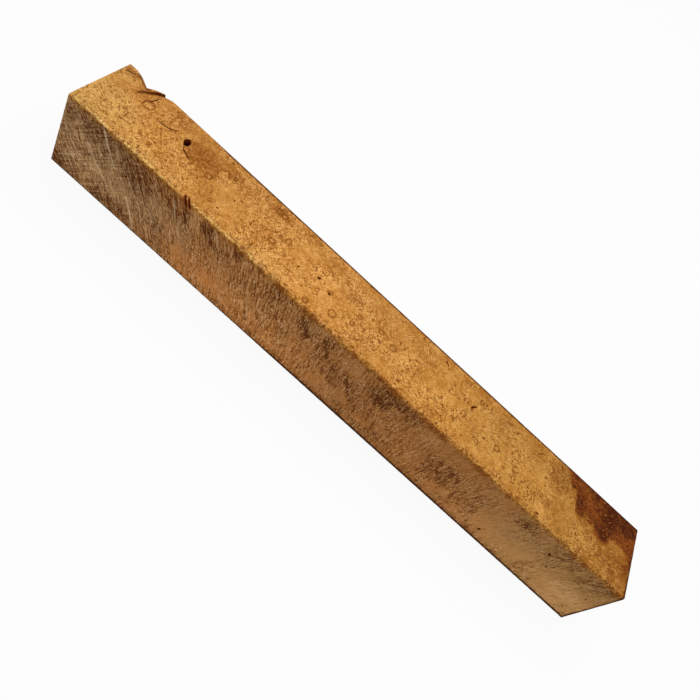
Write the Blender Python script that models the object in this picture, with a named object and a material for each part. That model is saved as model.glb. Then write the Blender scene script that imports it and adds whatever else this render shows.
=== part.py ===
"""Wood turning blank: one squared billet of burl wood, as sawn.

The billet lies on its bottom face with its length along X. Its origin is the middle of its
bottom face. Left is the end at -X, front is the face at -Y. All sizes are in metres.
"""

import math
import random
from collections import namedtuple

import bmesh
import bpy
from mathutils import Matrix, Vector, noise

# The billet
LENGTH = 0.305  # along every long edge
WIDTH = 0.038  # across the top face
HEIGHT = 0.038

# The saw cut of each end runs out of square: towards -X from front to back, its backset,
# and towards +X from top to bottom, its undercut.
LEFT_BACKSET = 0.0008
LEFT_UNDERCUT = 0.0003
RIGHT_BACKSET = 0.0014
RIGHT_UNDERCUT = 0.0006

# Its four long arrises. The front top one is rubbed round and torn, the others are crisp.
CRISP_ARRIS = 0.0003
WORN_ARRIS = 0.0009
WORN_ARRIS_TEAR = 0.0005  # how much the worn arris grows and shrinks along the billet
TEAR_PITCH = 0.0035  # spacing of the sections that shape the torn arris
TEAR_LENGTH = 0.006  # length of one tear in the arris

# The knot hole in the top face, an oval that narrows and leans as it goes down
KNOT_LEFT = 0.0410  # centre from the left end
KNOT_BACK = 0.0132  # centre from the back arris
KNOT_LONG = 0.0048
KNOT_WIDE = 0.0031
KNOT_DEPTH = 0.0110
KNOT_LEAN = 0.0016  # how far the bottom of the hole has moved towards +X
KNOT_TURN = 97.0  # degrees from the billet's length

# The chip out of the back arris near the left end, and the bark pocket that starts in it
CHIP_START = 0.0026  # from the left end to the start of the chip
CHIP_ROOT = 0.0120  # from the left end to its deepest place
CHIP_END = 0.0200  # from the left end to where the arris is whole again
CHIP_BITE = 0.0052  # how far the root reaches in from the back face
CHIP_DROP = 0.0130  # how far the chip runs down the back face
CHIP_RISE = 1.1  # how the bite grows towards the root, 1 being in a straight line
CHIP_RUN_OUT = 1.8  # and how fast it shrinks after it
CHIP_SWEEP = 76.0  # degrees of the quarter circle that the scoop follows as it goes down
CHIP_TAPER = 0.4  # how much less it narrows along the billet than across
CHIP_SPLINTER = 0.00022  # unevenness of the broken wall
CHIP_POINTS = 5
CHIP_LEVELS = 5
POCKET_AHEAD = 0.0005  # from the chip's root back to the tail of the pocket
POCKET_RUN = 0.0087  # from the chip's root on to where its middle meets the back face
POCKET_MOUTH = 0.0010  # how much further its mouth runs on
POCKET_REACH = 0.0106  # how far its tail reaches in from the back face
POCKET_CURVE = 1.45  # how hard it curves, 1 being straight
POCKET_WIDE = 0.0023  # across its mouth
POCKET_TAIL = 0.0007  # across its tail
POCKET_DEPTH = 0.0085
POCKET_TAIL_DEPTH = 0.0012
POCKET_POINTS = 8

# Drying cracks in the top face, and the wider hooked one where a knot came loose
CRACK_WIDE = 0.0006
CRACK_DEPTH = 0.0013
CRACK_END = 0.3  # share of the width and depth that is left at a crack's ends
HOOK_WIDE = 0.0011
HOOK_DEPTH = 0.0016

# Two slits where the worn arris was torn open
SLIT_LEFT = 0.0599  # where the first slit crosses the arris, from the left end
SLIT_GAP = 0.0018  # from the first slit to the second
SLIT_WIDE = 0.0011
SLIT_DROP = 0.0031  # how far the first runs down the front face
SLIT_SHORTER = 0.0007  # how much less far the second runs
SLIT_LEAN = 0.0023  # how far each moves towards +X on its way down
SLIT_TOP = 0.0024  # how far each runs into the top face
SLIT_SLANT = 0.7  # how far it moves towards -X there, as a share of its run
SLIT_DEPTH = 0.0020

FLOOR = 0.4  # how wide the floor of a groove is, as a share of its mouth
SLIT_FLOOR = 0.7

PIT_SIDES = 8
KNOT_SIDES = 16
SOCKET_STEPS = 3  # levels between the rim of a pit or hole and its bottom
SOCKET_SWEEP = 70.0  # degrees of the quarter circle that its wall follows
UNEVEN = 0.1  # how much a rim wanders from a true oval
POKE = 0.0006  # how far a cutter stands out of the face that it cuts
SEED = 21

UP = Vector((0, 0, 1))
FRONT = Vector((0, -1, 0))
WOOD_COLOUR = (0.50, 0.27, 0.07, 1)
WOOD_ROUGHNESS = 0.62

Pit = namedtuple("Pit", "place outward long wide depth turn")
Crack = namedtuple("Crack", "places wide depth")


def centring():
    """How far the top front edge lies off centre, so that the whole billet is centred."""
    return (max(LEFT_BACKSET, 0) - max(RIGHT_UNDERCUT, 0)) / 2


def from_left(distance):
    """X of a place this far from the left end of the top front edge."""
    return centring() - LENGTH / 2 + distance


def from_right(distance):
    """X of a place this far from the right end of the top front edge."""
    return centring() + LENGTH / 2 - distance


def top_by_back(x, inset):
    """A place on the top face, this far in from the back arris."""
    return Vector((x, WIDTH / 2 - inset, HEIGHT))


def top_by_front(x, inset):
    """A place on the top face, this far in from the front arris."""
    return Vector((x, -WIDTH / 2 + inset, HEIGHT))


def front_by_top(x, drop):
    """A place on the front face, this far below the top arris."""
    return Vector((x, -WIDTH / 2, HEIGHT - drop))


def front_by_bottom(x, rise):
    """A place on the front face, this far above the bottom arris."""
    return Vector((x, -WIDTH / 2, rise))


def pits():
    """The twelve largest of the small pits that the burl's buds left, on two faces."""
    return [
        Pit(top_by_front(from_left(0.0703), 0.0086), UP, 0.0012, 0.0009, 0.0010, 20),
        Pit(top_by_back(from_left(0.0723), 0.0197), UP, 0.0011, 0.0008, 0.0009, 80),
        Pit(top_by_front(from_left(0.1100), 0.0153), UP, 0.0012, 0.0009, 0.0011, 40),
        Pit(top_by_back(from_left(0.1195), 0.0196), UP, 0.0021, 0.0011, 0.0016, 62),
        Pit(top_by_front(from_left(0.1270), 0.0155), UP, 0.0014, 0.0013, 0.0014, 0),
        Pit(top_by_back(from_right(0.1192), 0.0043), UP, 0.0021, 0.0010, 0.0013, -22),
        Pit(top_by_back(from_right(0.0935), 0.0074), UP, 0.0012, 0.0009, 0.0010, 70),
        Pit(top_by_front(from_right(0.0883), 0.0143), UP, 0.0013, 0.0010, 0.0010, 10),
        Pit(top_by_front(from_right(0.0525), 0.0028), UP, 0.0024, 0.0009, 0.0012, 8),
        Pit(front_by_top(from_right(0.0334), 0.0110), FRONT, 0.0022, 0.0010, 0.0017, 105),
        Pit(front_by_top(from_right(0.0281), 0.0183), FRONT, 0.0016, 0.0009, 0.0013, 80),
        Pit(front_by_bottom(from_right(0.0584), 0.0079), FRONT, 0.0021, 0.0013, 0.0015, 75),
    ]


def cracks():
    """The drying cracks in the top face, each as the places that it runs through."""
    left = from_left
    by_chip = [(0.0166, 0.0120), (0.0182, 0.0090), (0.0187, 0.0067), (0.0185, 0.0050)]
    at_corner = [(0.0006, 0.0058), (0.0026, 0.0047), (0.0048, 0.0039)]
    before_knot = [(0.0255, 0.0152), (0.0290, 0.0150), (0.0320, 0.0143), (0.0335, 0.0130),
                   (0.0349, 0.0109)]
    under_knot = [(0.0413, 0.0161), (0.0431, 0.0180), (0.0456, 0.0190), (0.0482, 0.0199)]
    found = []
    for run in (by_chip, at_corner, before_knot, under_knot):
        places = [top_by_back(left(along), inset) for along, inset in run]
        found.append(Crack(places, CRACK_WIDE, CRACK_DEPTH))
    hook = [(0.0973, 0.0121), (0.0986, 0.0136), (0.0995, 0.0148), (0.0986, 0.0163)]
    places = [top_by_back(from_right(along), inset) for along, inset in hook]
    found.append(Crack(places, HOOK_WIDE, HOOK_DEPTH))
    return found


def clear_scene():
    """Remove every object that the file opened with."""
    for item in list(bpy.data.objects):
        bpy.data.objects.remove(item, do_unlink=True)


def add_object(name, mesh_maker):
    """Make an object from a bmesh, with its faces turned outwards."""
    bmesh.ops.recalc_face_normals(mesh_maker, faces=mesh_maker.faces)
    mesh = bpy.data.meshes.new(name)
    mesh_maker.to_mesh(mesh)
    mesh_maker.free()
    item = bpy.data.objects.new(name, mesh)
    bpy.context.scene.collection.objects.link(item)
    return item


def wood_material():
    """Golden brown burl, dry and dull from the saw."""
    material = bpy.data.materials.new("burl_wood")
    material.use_nodes = True
    shader = material.node_tree.nodes["Principled BSDF"]
    shader.inputs["Base Color"].default_value = WOOD_COLOUR
    shader.inputs["Roughness"].default_value = WOOD_ROUGHNESS
    shader.inputs["Metallic"].default_value = 0.0
    return material


def along_billet(edge):
    """Whether an edge is one of the four long ones."""
    return abs(edge.verts[0].co.x - edge.verts[1].co.x) > LENGTH / 2


def is_worn(edge):
    """Whether a long edge is the front top arris."""
    middle = (edge.verts[0].co + edge.verts[1].co) / 2
    return middle.y < 0 and middle.z > HEIGHT / 2


def saw_billet():
    """The squared billet: ends cut out of square, arrises eased, the front top one torn."""
    work = bmesh.new()
    bmesh.ops.create_cube(work, size=1)
    bmesh.ops.scale(work, vec=(LENGTH, WIDTH, HEIGHT), verts=work.verts)
    bmesh.ops.translate(work, vec=(0, 0, HEIGHT / 2), verts=work.verts)
    for vert in work.verts:
        is_left = vert.co.x < 0
        backset = LEFT_BACKSET if is_left else RIGHT_BACKSET
        undercut = LEFT_UNDERCUT if is_left else RIGHT_UNDERCUT
        vert.co.x += centring()
        vert.co.x -= backset if vert.co.y > 0 else 0
        vert.co.x += undercut if vert.co.z < HEIGHT / 2 else 0
    ease_arrises(work)
    cut_sections(work)
    tear_worn_arris(work)
    return add_object("turning_blank", work)


def ease_arrises(work):
    """Bevel the four long edges, the worn one wider and rounder than the rest."""
    long_edges = [edge for edge in work.edges if along_billet(edge)]
    crisp = [edge for edge in long_edges if not is_worn(edge)]
    bmesh.ops.bevel(work, geom=crisp, offset=CRISP_ARRIS, offset_type="OFFSET", segments=1,
                    profile=0.5, affect="EDGES", material=-1)
    worn = [edge for edge in work.edges if along_billet(edge) and touches_worn_corner(edge)]
    bmesh.ops.bevel(work, geom=worn, offset=WORN_ARRIS, offset_type="OFFSET", segments=4,
                    profile=0.5, affect="EDGES", material=-1)


def touches_worn_corner(edge):
    """Whether both ends of an edge lie on the corner line of the worn arris."""
    return all(worn_offset(vert).length < CRISP_ARRIS / 2 for vert in edge.verts)


def worn_offset(vert):
    """A vertex's distance, across the section, from the corner line of the worn arris."""
    return Vector((vert.co.y + WIDTH / 2, vert.co.z - HEIGHT))


def end_margin():
    """How far the sections that shape the worn arris stay from each end."""
    return TEAR_PITCH + max(LEFT_BACKSET, RIGHT_BACKSET) + max(LEFT_UNDERCUT, RIGHT_UNDERCUT)


def cut_sections(work):
    """Divide the billet into short lengths, so that its worn arris can vary."""
    usable = LENGTH - 2 * end_margin()
    count = max(1, round(usable / TEAR_PITCH))
    for step in range(count + 1):
        x = -usable / 2 + usable * step / count
        everything = list(work.verts) + list(work.edges) + list(work.faces)
        bmesh.ops.bisect_plane(work, geom=everything, plane_co=(x, 0, 0), plane_no=(1, 0, 0))


def tear_worn_arris(work):
    """Let the worn arris swell and shrink along the billet; both faces beside it stay flat."""
    end_zone = LENGTH / 2 - end_margin() + TEAR_PITCH / 2
    for vert in work.verts:
        offset = worn_offset(vert)
        if offset.length > 1.01 * WORN_ARRIS or abs(vert.co.x) > end_zone:
            continue
        tear = noise.noise(Vector((vert.co.x / TEAR_LENGTH, SEED, 0)))
        growth = 1 + tear * WORN_ARRIS_TEAR / WORN_ARRIS
        vert.co.y = -WIDTH / 2 + offset.x * growth
        vert.co.z = HEIGHT + offset.y * growth


def extrude_last(work, face, is_lid):
    """Extrude a face of a cutter and return its new end. Only a lid stays where it was."""
    result = bmesh.ops.extrude_face_region(work, geom=[face])
    if not is_lid:
        bmesh.ops.delete(work, geom=[face], context="FACES_ONLY")
    return next(item for item in result["geom"] if isinstance(item, bmesh.types.BMFace))


def scoop(share, sweep):
    """Width and depth, each from 0 to 1, at this share of a wall that sweeps in as an arc."""
    angle = math.radians(sweep) * share
    return math.cos(angle), math.sin(angle) / math.sin(math.radians(sweep))


def socket(work, pit, sides, dice, lean=0.0):
    """A cutter for a hole with uneven sides that narrows to a rounded bottom."""
    rim = bmesh.ops.create_circle(work, cap_ends=True, segments=sides, radius=0.5)["verts"]
    for vert in rim:
        uneven = dice.uniform(1 - UNEVEN, 1 + UNEVEN)
        vert.co = Vector((vert.co.x * pit.long * uneven, vert.co.y * pit.wide * uneven, POKE))
    shell = list(rim)
    end = rim[0].link_faces[0]
    centre = Vector((0, 0, 0))
    width = 1.0
    for step in range(SOCKET_STEPS + 1):
        next_width, fall = scoop(step / SOCKET_STEPS, SOCKET_SWEEP)
        next_centre = Vector((lean * fall, 0, -pit.depth * fall))
        end = extrude_last(work, end, is_lid=step == 0)
        shift = next_centre - centre if step else Vector((0, 0, -POKE))
        ratio = next_width / width
        bmesh.ops.scale(work, vec=(ratio, ratio, 1), verts=end.verts,
                        space=Matrix.Translation(-centre))
        bmesh.ops.translate(work, vec=shift, verts=end.verts)
        shell += list(end.verts)
        centre = next_centre
        width = next_width
    place_on_face(work, pit, shell)


def place_on_face(work, pit, verts):
    """Turn a cutter made about the origin onto its face and move it to its place."""
    along = Vector((1, 0, 0))
    across = pit.outward.cross(along)
    facing = Matrix((along, across, pit.outward)).transposed().to_4x4()
    turned = Matrix.Rotation(math.radians(pit.turn), 4, "Z")
    placing = Matrix.Translation(pit.place) @ facing @ turned
    bmesh.ops.transform(work, matrix=placing, verts=verts)


def ring(work, corners):
    """A closed loop of edges through these corners."""
    verts = [work.verts.new(corner) for corner in corners]
    return [work.edges.new(pair) for pair in zip(verts, verts[1:] + verts[:1])]


def groove(work, places, outward, widths, depths, floor=FLOOR, slant=Vector((0, 0, 0))):
    """A cutter shaped as a blunt wedge that runs along a face through the given places."""
    loops = []
    for index, place in enumerate(places):
        before = places[max(index - 1, 0)]
        after = places[min(index + 1, len(places) - 1)]
        side = outward.cross(after - before).normalized()
        flare = (depths[index] + POKE) / depths[index]
        half = side * widths[index] / 2 * flare
        top = place + outward * POKE
        bottom = place + (slant - outward) * depths[index]
        loops.append(ring(work, [top - half, top + half, bottom + half * floor,
                                 bottom - half * floor]))
    for first, second in zip(loops, loops[1:]):
        bmesh.ops.bridge_loops(work, edges=first + second)
    for loop in (loops[0], loops[-1]):
        bmesh.ops.contextual_create(work, geom=loop)


def chip_outline():
    """The chip in plan: it deepens steadily to its root and then runs out in a curve."""
    outline = [(CHIP_START, -POKE), (CHIP_START, 0)]
    for step in range(1, CHIP_POINTS + 1):
        share = step / CHIP_POINTS
        along = CHIP_START + (CHIP_ROOT - CHIP_START) * share
        outline.append((along, CHIP_BITE * share ** CHIP_RISE))
    for step in range(1, CHIP_POINTS + 1):
        share = step / CHIP_POINTS
        along = CHIP_ROOT + (CHIP_END - CHIP_ROOT) * share
        outline.append((along, CHIP_BITE * (1 - share) ** CHIP_RUN_OUT))
    outline.append((CHIP_END, -POKE))
    return [top_by_back(from_left(along), inset) + UP * POKE for along, inset in outline]


def chip_cutter():
    """A scoop that leaves a broken, stepped wall behind the chip."""
    dice = random.Random(SEED)
    work = bmesh.new()
    top = [work.verts.new(corner) for corner in chip_outline()]
    end = work.faces.new(top)
    pivot = Matrix.Translation((-from_left(CHIP_ROOT), -WIDTH / 2, 0))
    width = 1.0
    fall = 0.0
    for step in range(1, CHIP_LEVELS + 1):
        next_width, next_fall = scoop(step / CHIP_LEVELS, CHIP_SWEEP)
        end = extrude_last(work, end, is_lid=step == 1)
        ratio = next_width / width
        bmesh.ops.scale(work, vec=(ratio ** CHIP_TAPER, ratio, 1), verts=end.verts, space=pivot)
        drop = CHIP_DROP * (next_fall - fall)
        bmesh.ops.translate(work, vec=(0, 0, -drop), verts=end.verts)
        width = next_width
        fall = next_fall
        for vert in end.verts:
            if vert.co.y < WIDTH / 2:
                vert.co.y += dice.uniform(-CHIP_SPLINTER, CHIP_SPLINTER) * next_width
                vert.co.x += dice.uniform(-CHIP_SPLINTER, CHIP_SPLINTER)
    return add_object("cutter_chip", work)


def pocket_cutter():
    """The bark pocket: a curved split that widens and deepens until it leaves the back face."""
    places = []
    widths = []
    depths = []
    whole = POCKET_AHEAD + POCKET_RUN
    for step in range(POCKET_POINTS + 1):
        share = step / POCKET_POINTS
        travelled = (whole + POCKET_MOUTH) * share
        left_over = 1 - travelled / whole
        inset = math.copysign(POCKET_REACH * abs(left_over) ** POCKET_CURVE, left_over)
        along = CHIP_ROOT - POCKET_AHEAD + travelled
        places.append(top_by_back(from_left(along), inset))
        widths.append(POCKET_TAIL + (POCKET_WIDE - POCKET_TAIL) * share)
        depths.append(POCKET_TAIL_DEPTH + (POCKET_DEPTH - POCKET_TAIL_DEPTH) * share)
    work = bmesh.new()
    groove(work, places, UP, widths, depths)
    return add_object("cutter_bark_pocket", work)


def knot_cutter():
    """The knot hole."""
    work = bmesh.new()
    place = top_by_back(from_left(KNOT_LEFT), KNOT_BACK)
    hole = Pit(place, UP, KNOT_LONG, KNOT_WIDE, KNOT_DEPTH, KNOT_TURN)
    socket(work, hole, KNOT_SIDES, random.Random(SEED + 1), KNOT_LEAN)
    return add_object("cutter_knot_hole", work)


def crack_cutter():
    """The drying cracks, each narrow at both of its ends."""
    work = bmesh.new()
    for crack in cracks():
        last = len(crack.places) - 1
        shares = [CRACK_END + (1 - CRACK_END) * math.sin(math.pi * i / last) for i in range(last + 1)]
        widths = [crack.wide * share for share in shares]
        depths = [crack.depth * share for share in shares]
        groove(work, crack.places, UP, widths, depths)
    return add_object("cutter_cracks", work)


def pit_cutter():
    """The small pits."""
    dice = random.Random(SEED + 2)
    work = bmesh.new()
    for pit in pits():
        socket(work, pit, PIT_SIDES, dice)
    return add_object("cutter_pits", work)


def slit_cutter():
    """The two torn slits that run over the worn arris and down the front face."""
    work = bmesh.new()
    slant = Vector((-SLIT_SLANT, 0, 0))
    for left, drop in ((SLIT_LEFT, SLIT_DROP), (SLIT_LEFT + SLIT_GAP, SLIT_DROP - SLIT_SHORTER)):
        places = []
        for share in (0, 0.5, 1):
            x = from_left(left + SLIT_LEAN * share)
            places.append(front_by_top(x, (POKE + drop) * share - POKE))
        widths = [SLIT_WIDE, SLIT_WIDE, SLIT_WIDE / 2]
        depths = [SLIT_TOP, SLIT_DEPTH, SLIT_DEPTH / 2]
        groove(work, places, FRONT, widths, depths, SLIT_FLOOR, slant)
    return add_object("cutter_slits", work)


def cut(blank, cutter):
    """Take a cutter's shape out of the blank and keep the cutter only as a guide."""
    cutter.hide_render = True
    cutter.display_type = "WIRE"
    boolean = blank.modifiers.new(cutter.name, "BOOLEAN")
    boolean.operation = "DIFFERENCE"
    boolean.solver = "EXACT"
    boolean.object = cutter


def build_part():
    """Make the blank and cut its natural flaws into it."""
    clear_scene()
    blank = saw_billet()
    blank.data.materials.append(wood_material())
    for make in (chip_cutter, pocket_cutter, knot_cutter, crack_cutter, pit_cutter, slit_cutter):
        cut(blank, make())


if __name__ == "__main__":
    build_part()
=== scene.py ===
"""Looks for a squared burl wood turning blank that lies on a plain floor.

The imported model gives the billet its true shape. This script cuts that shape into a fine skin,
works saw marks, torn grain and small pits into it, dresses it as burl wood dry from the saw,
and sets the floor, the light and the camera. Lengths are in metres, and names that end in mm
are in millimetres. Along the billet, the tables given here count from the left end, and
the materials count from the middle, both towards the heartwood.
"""

import logging
import math
from collections.abc import Callable
from dataclasses import dataclass
from enum import Enum
from functools import partial
from typing import NamedTuple

import bmesh
import bpy
from mathutils import Matrix, Vector, noise


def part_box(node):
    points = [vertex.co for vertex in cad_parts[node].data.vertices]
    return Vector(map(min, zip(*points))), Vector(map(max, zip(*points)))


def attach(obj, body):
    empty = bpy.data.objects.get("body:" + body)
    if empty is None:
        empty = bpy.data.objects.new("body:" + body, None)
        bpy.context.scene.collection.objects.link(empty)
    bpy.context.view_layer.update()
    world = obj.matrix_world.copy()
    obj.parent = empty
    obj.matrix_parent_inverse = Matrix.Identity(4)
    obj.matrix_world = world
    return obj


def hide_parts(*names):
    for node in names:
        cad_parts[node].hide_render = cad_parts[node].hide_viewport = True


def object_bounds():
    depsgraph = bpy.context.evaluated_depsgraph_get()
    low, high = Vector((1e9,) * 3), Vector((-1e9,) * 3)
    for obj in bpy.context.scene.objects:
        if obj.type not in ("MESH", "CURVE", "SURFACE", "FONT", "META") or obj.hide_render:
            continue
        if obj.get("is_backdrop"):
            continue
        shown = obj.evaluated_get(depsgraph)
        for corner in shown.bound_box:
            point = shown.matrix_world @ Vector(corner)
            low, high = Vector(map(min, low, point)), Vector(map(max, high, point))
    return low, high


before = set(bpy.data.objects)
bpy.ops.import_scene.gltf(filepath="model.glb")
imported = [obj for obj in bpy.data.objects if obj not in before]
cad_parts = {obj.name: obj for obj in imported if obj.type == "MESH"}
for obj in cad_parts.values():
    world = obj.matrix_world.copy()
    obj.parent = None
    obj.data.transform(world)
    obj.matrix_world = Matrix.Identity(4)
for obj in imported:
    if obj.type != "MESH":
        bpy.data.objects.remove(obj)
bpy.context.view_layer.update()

LOG = logging.getLogger("turning_blank")
NODE = "turning_blank"
BODY = "root"
MM = 0.001
TOUCH = 1e-7
WHITE = (1.0, 1.0, 1.0, 1.0)
EDGE_LENGTH_MM = 305.0
HALF_LENGTH_MM = 152.4
HALF_WIDTH_MM = 19.0
LEFT_BACKSET_MM = 0.8
CHIP_END_MM = 20.0
CHIP_BITE_MM = 5.4
POCKET_START_MM = 11.5
POCKET_RUN_MM = 9.2
POCKET_REACH_MM = 10.6
POCKET_CURVE = 1.45
POCKET_HALF_MM = 1.6

Socket = bpy.types.NodeSocket


class Surface(Enum):
    """The surfaces of the billet, in the order of their material slots."""

    LONG = 0
    END = 1
    HOLLOW = 2


class Side(Enum):
    """The parts of the billet's skin while it is being cut."""

    TOP = 0
    FRONT = 1
    BACK = 2
    BOTTOM = 3
    LEFT = 4
    RIGHT = 5
    ARRIS = 6
    CHIP = 7
    HOLLOW = 8

    def surface(self) -> Surface:
        """The finish that this part of the skin takes."""
        if self in (Side.LEFT, Side.RIGHT):
            return Surface.END
        return Surface.HOLLOW if self in (Side.CHIP, Side.HOLLOW) else Surface.LONG


@dataclass(frozen=True)
class Tone:
    """A colour in linear light."""

    red: float
    green: float
    blue: float

    def rgba(self) -> tuple[float, float, float, float]:
        """The colour as a node socket takes it."""
        return (self.red, self.green, self.blue, 1.0)


class Wire:
    """A value, a place or a colour that runs from a node, so that formulas read as formulas."""

    def __init__(self, graph: "Graph", socket: Socket) -> None:
        """Remember the graph and the node's output."""
        self.graph = graph
        self.socket = socket

    def __add__(self, other: "Value") -> "Wire":
        """The sum of two values."""
        return self.graph.math("ADD", self, other)

    def __sub__(self, other: "Value") -> "Wire":
        """This value less another."""
        return self.graph.math("SUBTRACT", self, other)

    def __rsub__(self, other: float) -> "Wire":
        """A number less this value."""
        return self.graph.math("SUBTRACT", other, self)

    def __mul__(self, other: "Value") -> "Wire":
        """The product of two values."""
        return self.graph.math("MULTIPLY", self, other)

    def __abs__(self) -> "Wire":
        """This value without its sign."""
        return self.graph.math("ABSOLUTE", self)

    __radd__ = __add__
    __rmul__ = __mul__

    def most(self, *others: "Value") -> "Wire":
        """The greatest of this value and others."""
        result = self
        for other in others:
            result = self.graph.math("MAXIMUM", result, other)
        return result

    def least(self, *others: "Value") -> "Wire":
        """The least of this value and others."""
        result = self
        for other in others:
            result = self.graph.math("MINIMUM", result, other)
        return result

    def step(self, start: "Value", end: "Value") -> "Wire":
        """A smooth rise of this value from 0 at start to 1 at end, or a fall the other way.

        Args:
            start: where the result is 0.
            end: where the result is 1.

        Returns:
            The mask.
        """
        node = self.graph.add("MapRange", interpolation_type="SMOOTHSTEP", clamp=True)
        for name, number in (("Value", self), ("From Min", start), ("From Max", end)):
            self.graph.feed(node.inputs[name], number)
        return Wire(self.graph, node.outputs["Result"])

    def split(self) -> list["Wire"]:
        """The three parts of this place or colour."""
        node = self.graph.add("SeparateXYZ")
        self.graph.feed(node.inputs[0], self)
        return [Wire(self.graph, part) for part in node.outputs]

    def scaled(self, factor: "Value") -> "Wire":
        """This place or colour, times a factor."""
        return self.graph.vector("SCALE", self, factor)

    def moved(self, by: object) -> "Wire":
        """This place, moved by a vector."""
        return self.graph.vector("ADD", self, by)

    def noise(self, scale: float, detail: float = 2.0, rough: float = 0.5) -> bpy.types.Node:
        """A cloudy noise at this place.

        Args:
            scale: features to a unit of the place.
            detail: octaves of finer noise.
            rough: how strong each finer octave is.

        Returns:
            The node, with a Fac from 0 to 1 and a Color of three of them.
        """
        node = self.graph.add("TexNoise")
        self.graph.feed(node.inputs["Vector"], self)
        for name, number in (("Scale", scale), ("Detail", detail), ("Roughness", rough)):
            node.inputs[name].default_value = number
        return node

    def cloud(self, scale: float, detail: float = 2.0, rough: float = 0.5) -> "Wire":
        """The value of a cloudy noise at this place, from 0 to 1 and mostly near a half."""
        return Wire(self.graph, self.noise(scale, detail, rough).outputs["Fac"])

    def drift(self, scale: float, detail: float = 2.0, rough: float = 0.5) -> "Wire":
        """The value of a cloudy noise at this place, around 0."""
        return self.cloud(scale, detail, rough) - 0.5

    def warped(self, scale: float, reach: float) -> "Wire":
        """This place pushed about by a slow noise, so that no pattern looks regular."""
        push = self.graph.vector("SUBTRACT", self.noise(scale).outputs["Color"], (0.5, 0.5, 0.5))
        return self.moved(push.scaled(reach))

    def covered(self, share: "Value", over: object, blend: str = "MIX") -> "Wire":
        """This colour with a share of another laid over it."""
        return self.graph.mix(share, self, over, blend)


Value = float | Wire


class Graph:
    """A short way to write nodes. A value is a number or the wire from another node."""

    def __init__(self, tree: bpy.types.NodeTree) -> None:
        """Remember the node tree to build in."""
        self.tree = tree

    def add(self, kind: str, **settings: object) -> bpy.types.Node:
        """Add a node.

        Args:
            kind: the node's type, without its ShaderNode prefix.
            settings: properties to set on it.

        Returns:
            The node.
        """
        node = self.tree.nodes.new("ShaderNode" + kind)
        for key, setting in settings.items():
            setattr(node, key, setting)
        return node

    def feed(self, socket: Socket, value: object) -> None:
        """Link a socket to another, or set its number, vector or colour.

        Args:
            socket: the input to feed.
            value: a wire, a socket, a tone, a number or a vector.
        """
        if isinstance(value, Wire):
            self.tree.links.new(value.socket, socket)
        elif isinstance(value, Socket):
            self.tree.links.new(value, socket)
        elif isinstance(value, Tone):
            socket.default_value = value.rgba()
        else:
            socket.default_value = value

    def math(self, operation: str, *values: Value, clamp: bool = False) -> Wire:
        """Arithmetic on one to three values.

        Args:
            operation: the name of the operation.
            values: what it works on.
            clamp: whether to keep the result from 0 to 1.

        Returns:
            The result.
        """
        node = self.add("Math", operation=operation, use_clamp=clamp)
        for socket, value in zip(node.inputs, values):
            self.feed(socket, value)
        return Wire(self, node.outputs[0])

    def vector(self, operation: str, first: object, second: object) -> Wire:
        """Arithmetic on vectors.

        Args:
            operation: the name of the operation.
            first: a vector.
            second: another vector, or the factor that scales the first.

        Returns:
            The vector, or for a product or a distance the number, that results.
        """
        node = self.add("VectorMath", operation=operation)
        self.feed(node.inputs[0], first)
        self.feed(node.inputs["Scale" if operation == "SCALE" else 1], second)
        number = operation in ("DOT_PRODUCT", "DISTANCE")
        return Wire(self, node.outputs["Value" if number else "Vector"])

    def join(self, x: Value, y: Value, z: Value) -> Wire:
        """A vector from its three parts."""
        node = self.add("CombineXYZ")
        for socket, value in zip(node.inputs, (x, y, z)):
            self.feed(socket, value)
        return Wire(self, node.outputs[0])

    def cells(self, at: Wire, pitch: float) -> list[Wire]:
        """Random cells around a place.

        Args:
            at: the place.
            pitch: the usual distance from one cell to the next.

        Returns:
            How far the middle of the place's own cell is, and three random numbers of that cell.
        """
        node = self.add("TexVoronoi")
        self.feed(node.inputs["Vector"], at)
        node.inputs["Scale"].default_value = 1 / pitch
        reach = Wire(self, node.outputs["Distance"]) * pitch
        return [reach, *Wire(self, node.outputs["Color"]).split()]

    def mix(self, share: Value, first: object, second: object, blend: str = "MIX") -> Wire:
        """Blend two colours.

        Args:
            share: how much of the second.
            first: the colour under it.
            second: the colour laid on.
            blend: how it is laid on.

        Returns:
            The blended colour.
        """
        node = self.add("Mix", data_type="RGBA", blend_type=blend)
        for place, value in ((0, share), (6, first), (7, second)):
            self.feed(node.inputs[place], value)
        return Wire(self, node.outputs[2])

    def ramp(self, value: Wire, *stops: tuple[float, Tone]) -> Wire:
        """A colour that runs through the stops as the value grows.

        Args:
            value: what is measured.
            stops: each place on the scale of the value, and the tone there.

        Returns:
            The colour.
        """
        node = self.add("ValToRGB")
        elements = node.color_ramp.elements
        while len(elements) < len(stops):
            elements.new(1.0)
        for element, (place, tone) in zip(elements, stops):
            element.position = place
            element.color = tone.rgba()
        self.feed(node.inputs[0], value)
        return Wire(self, node.outputs["Color"])

    def seen_directly(self) -> Wire:
        """1 for rays from the camera and those that gloss or glass send on, otherwise 0."""
        rays = self.add("LightPath").outputs
        camera = Wire(self, rays["Is Camera Ray"])
        return camera.most(rays["Is Glossy Ray"], rays["Is Transmission Ray"])


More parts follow.
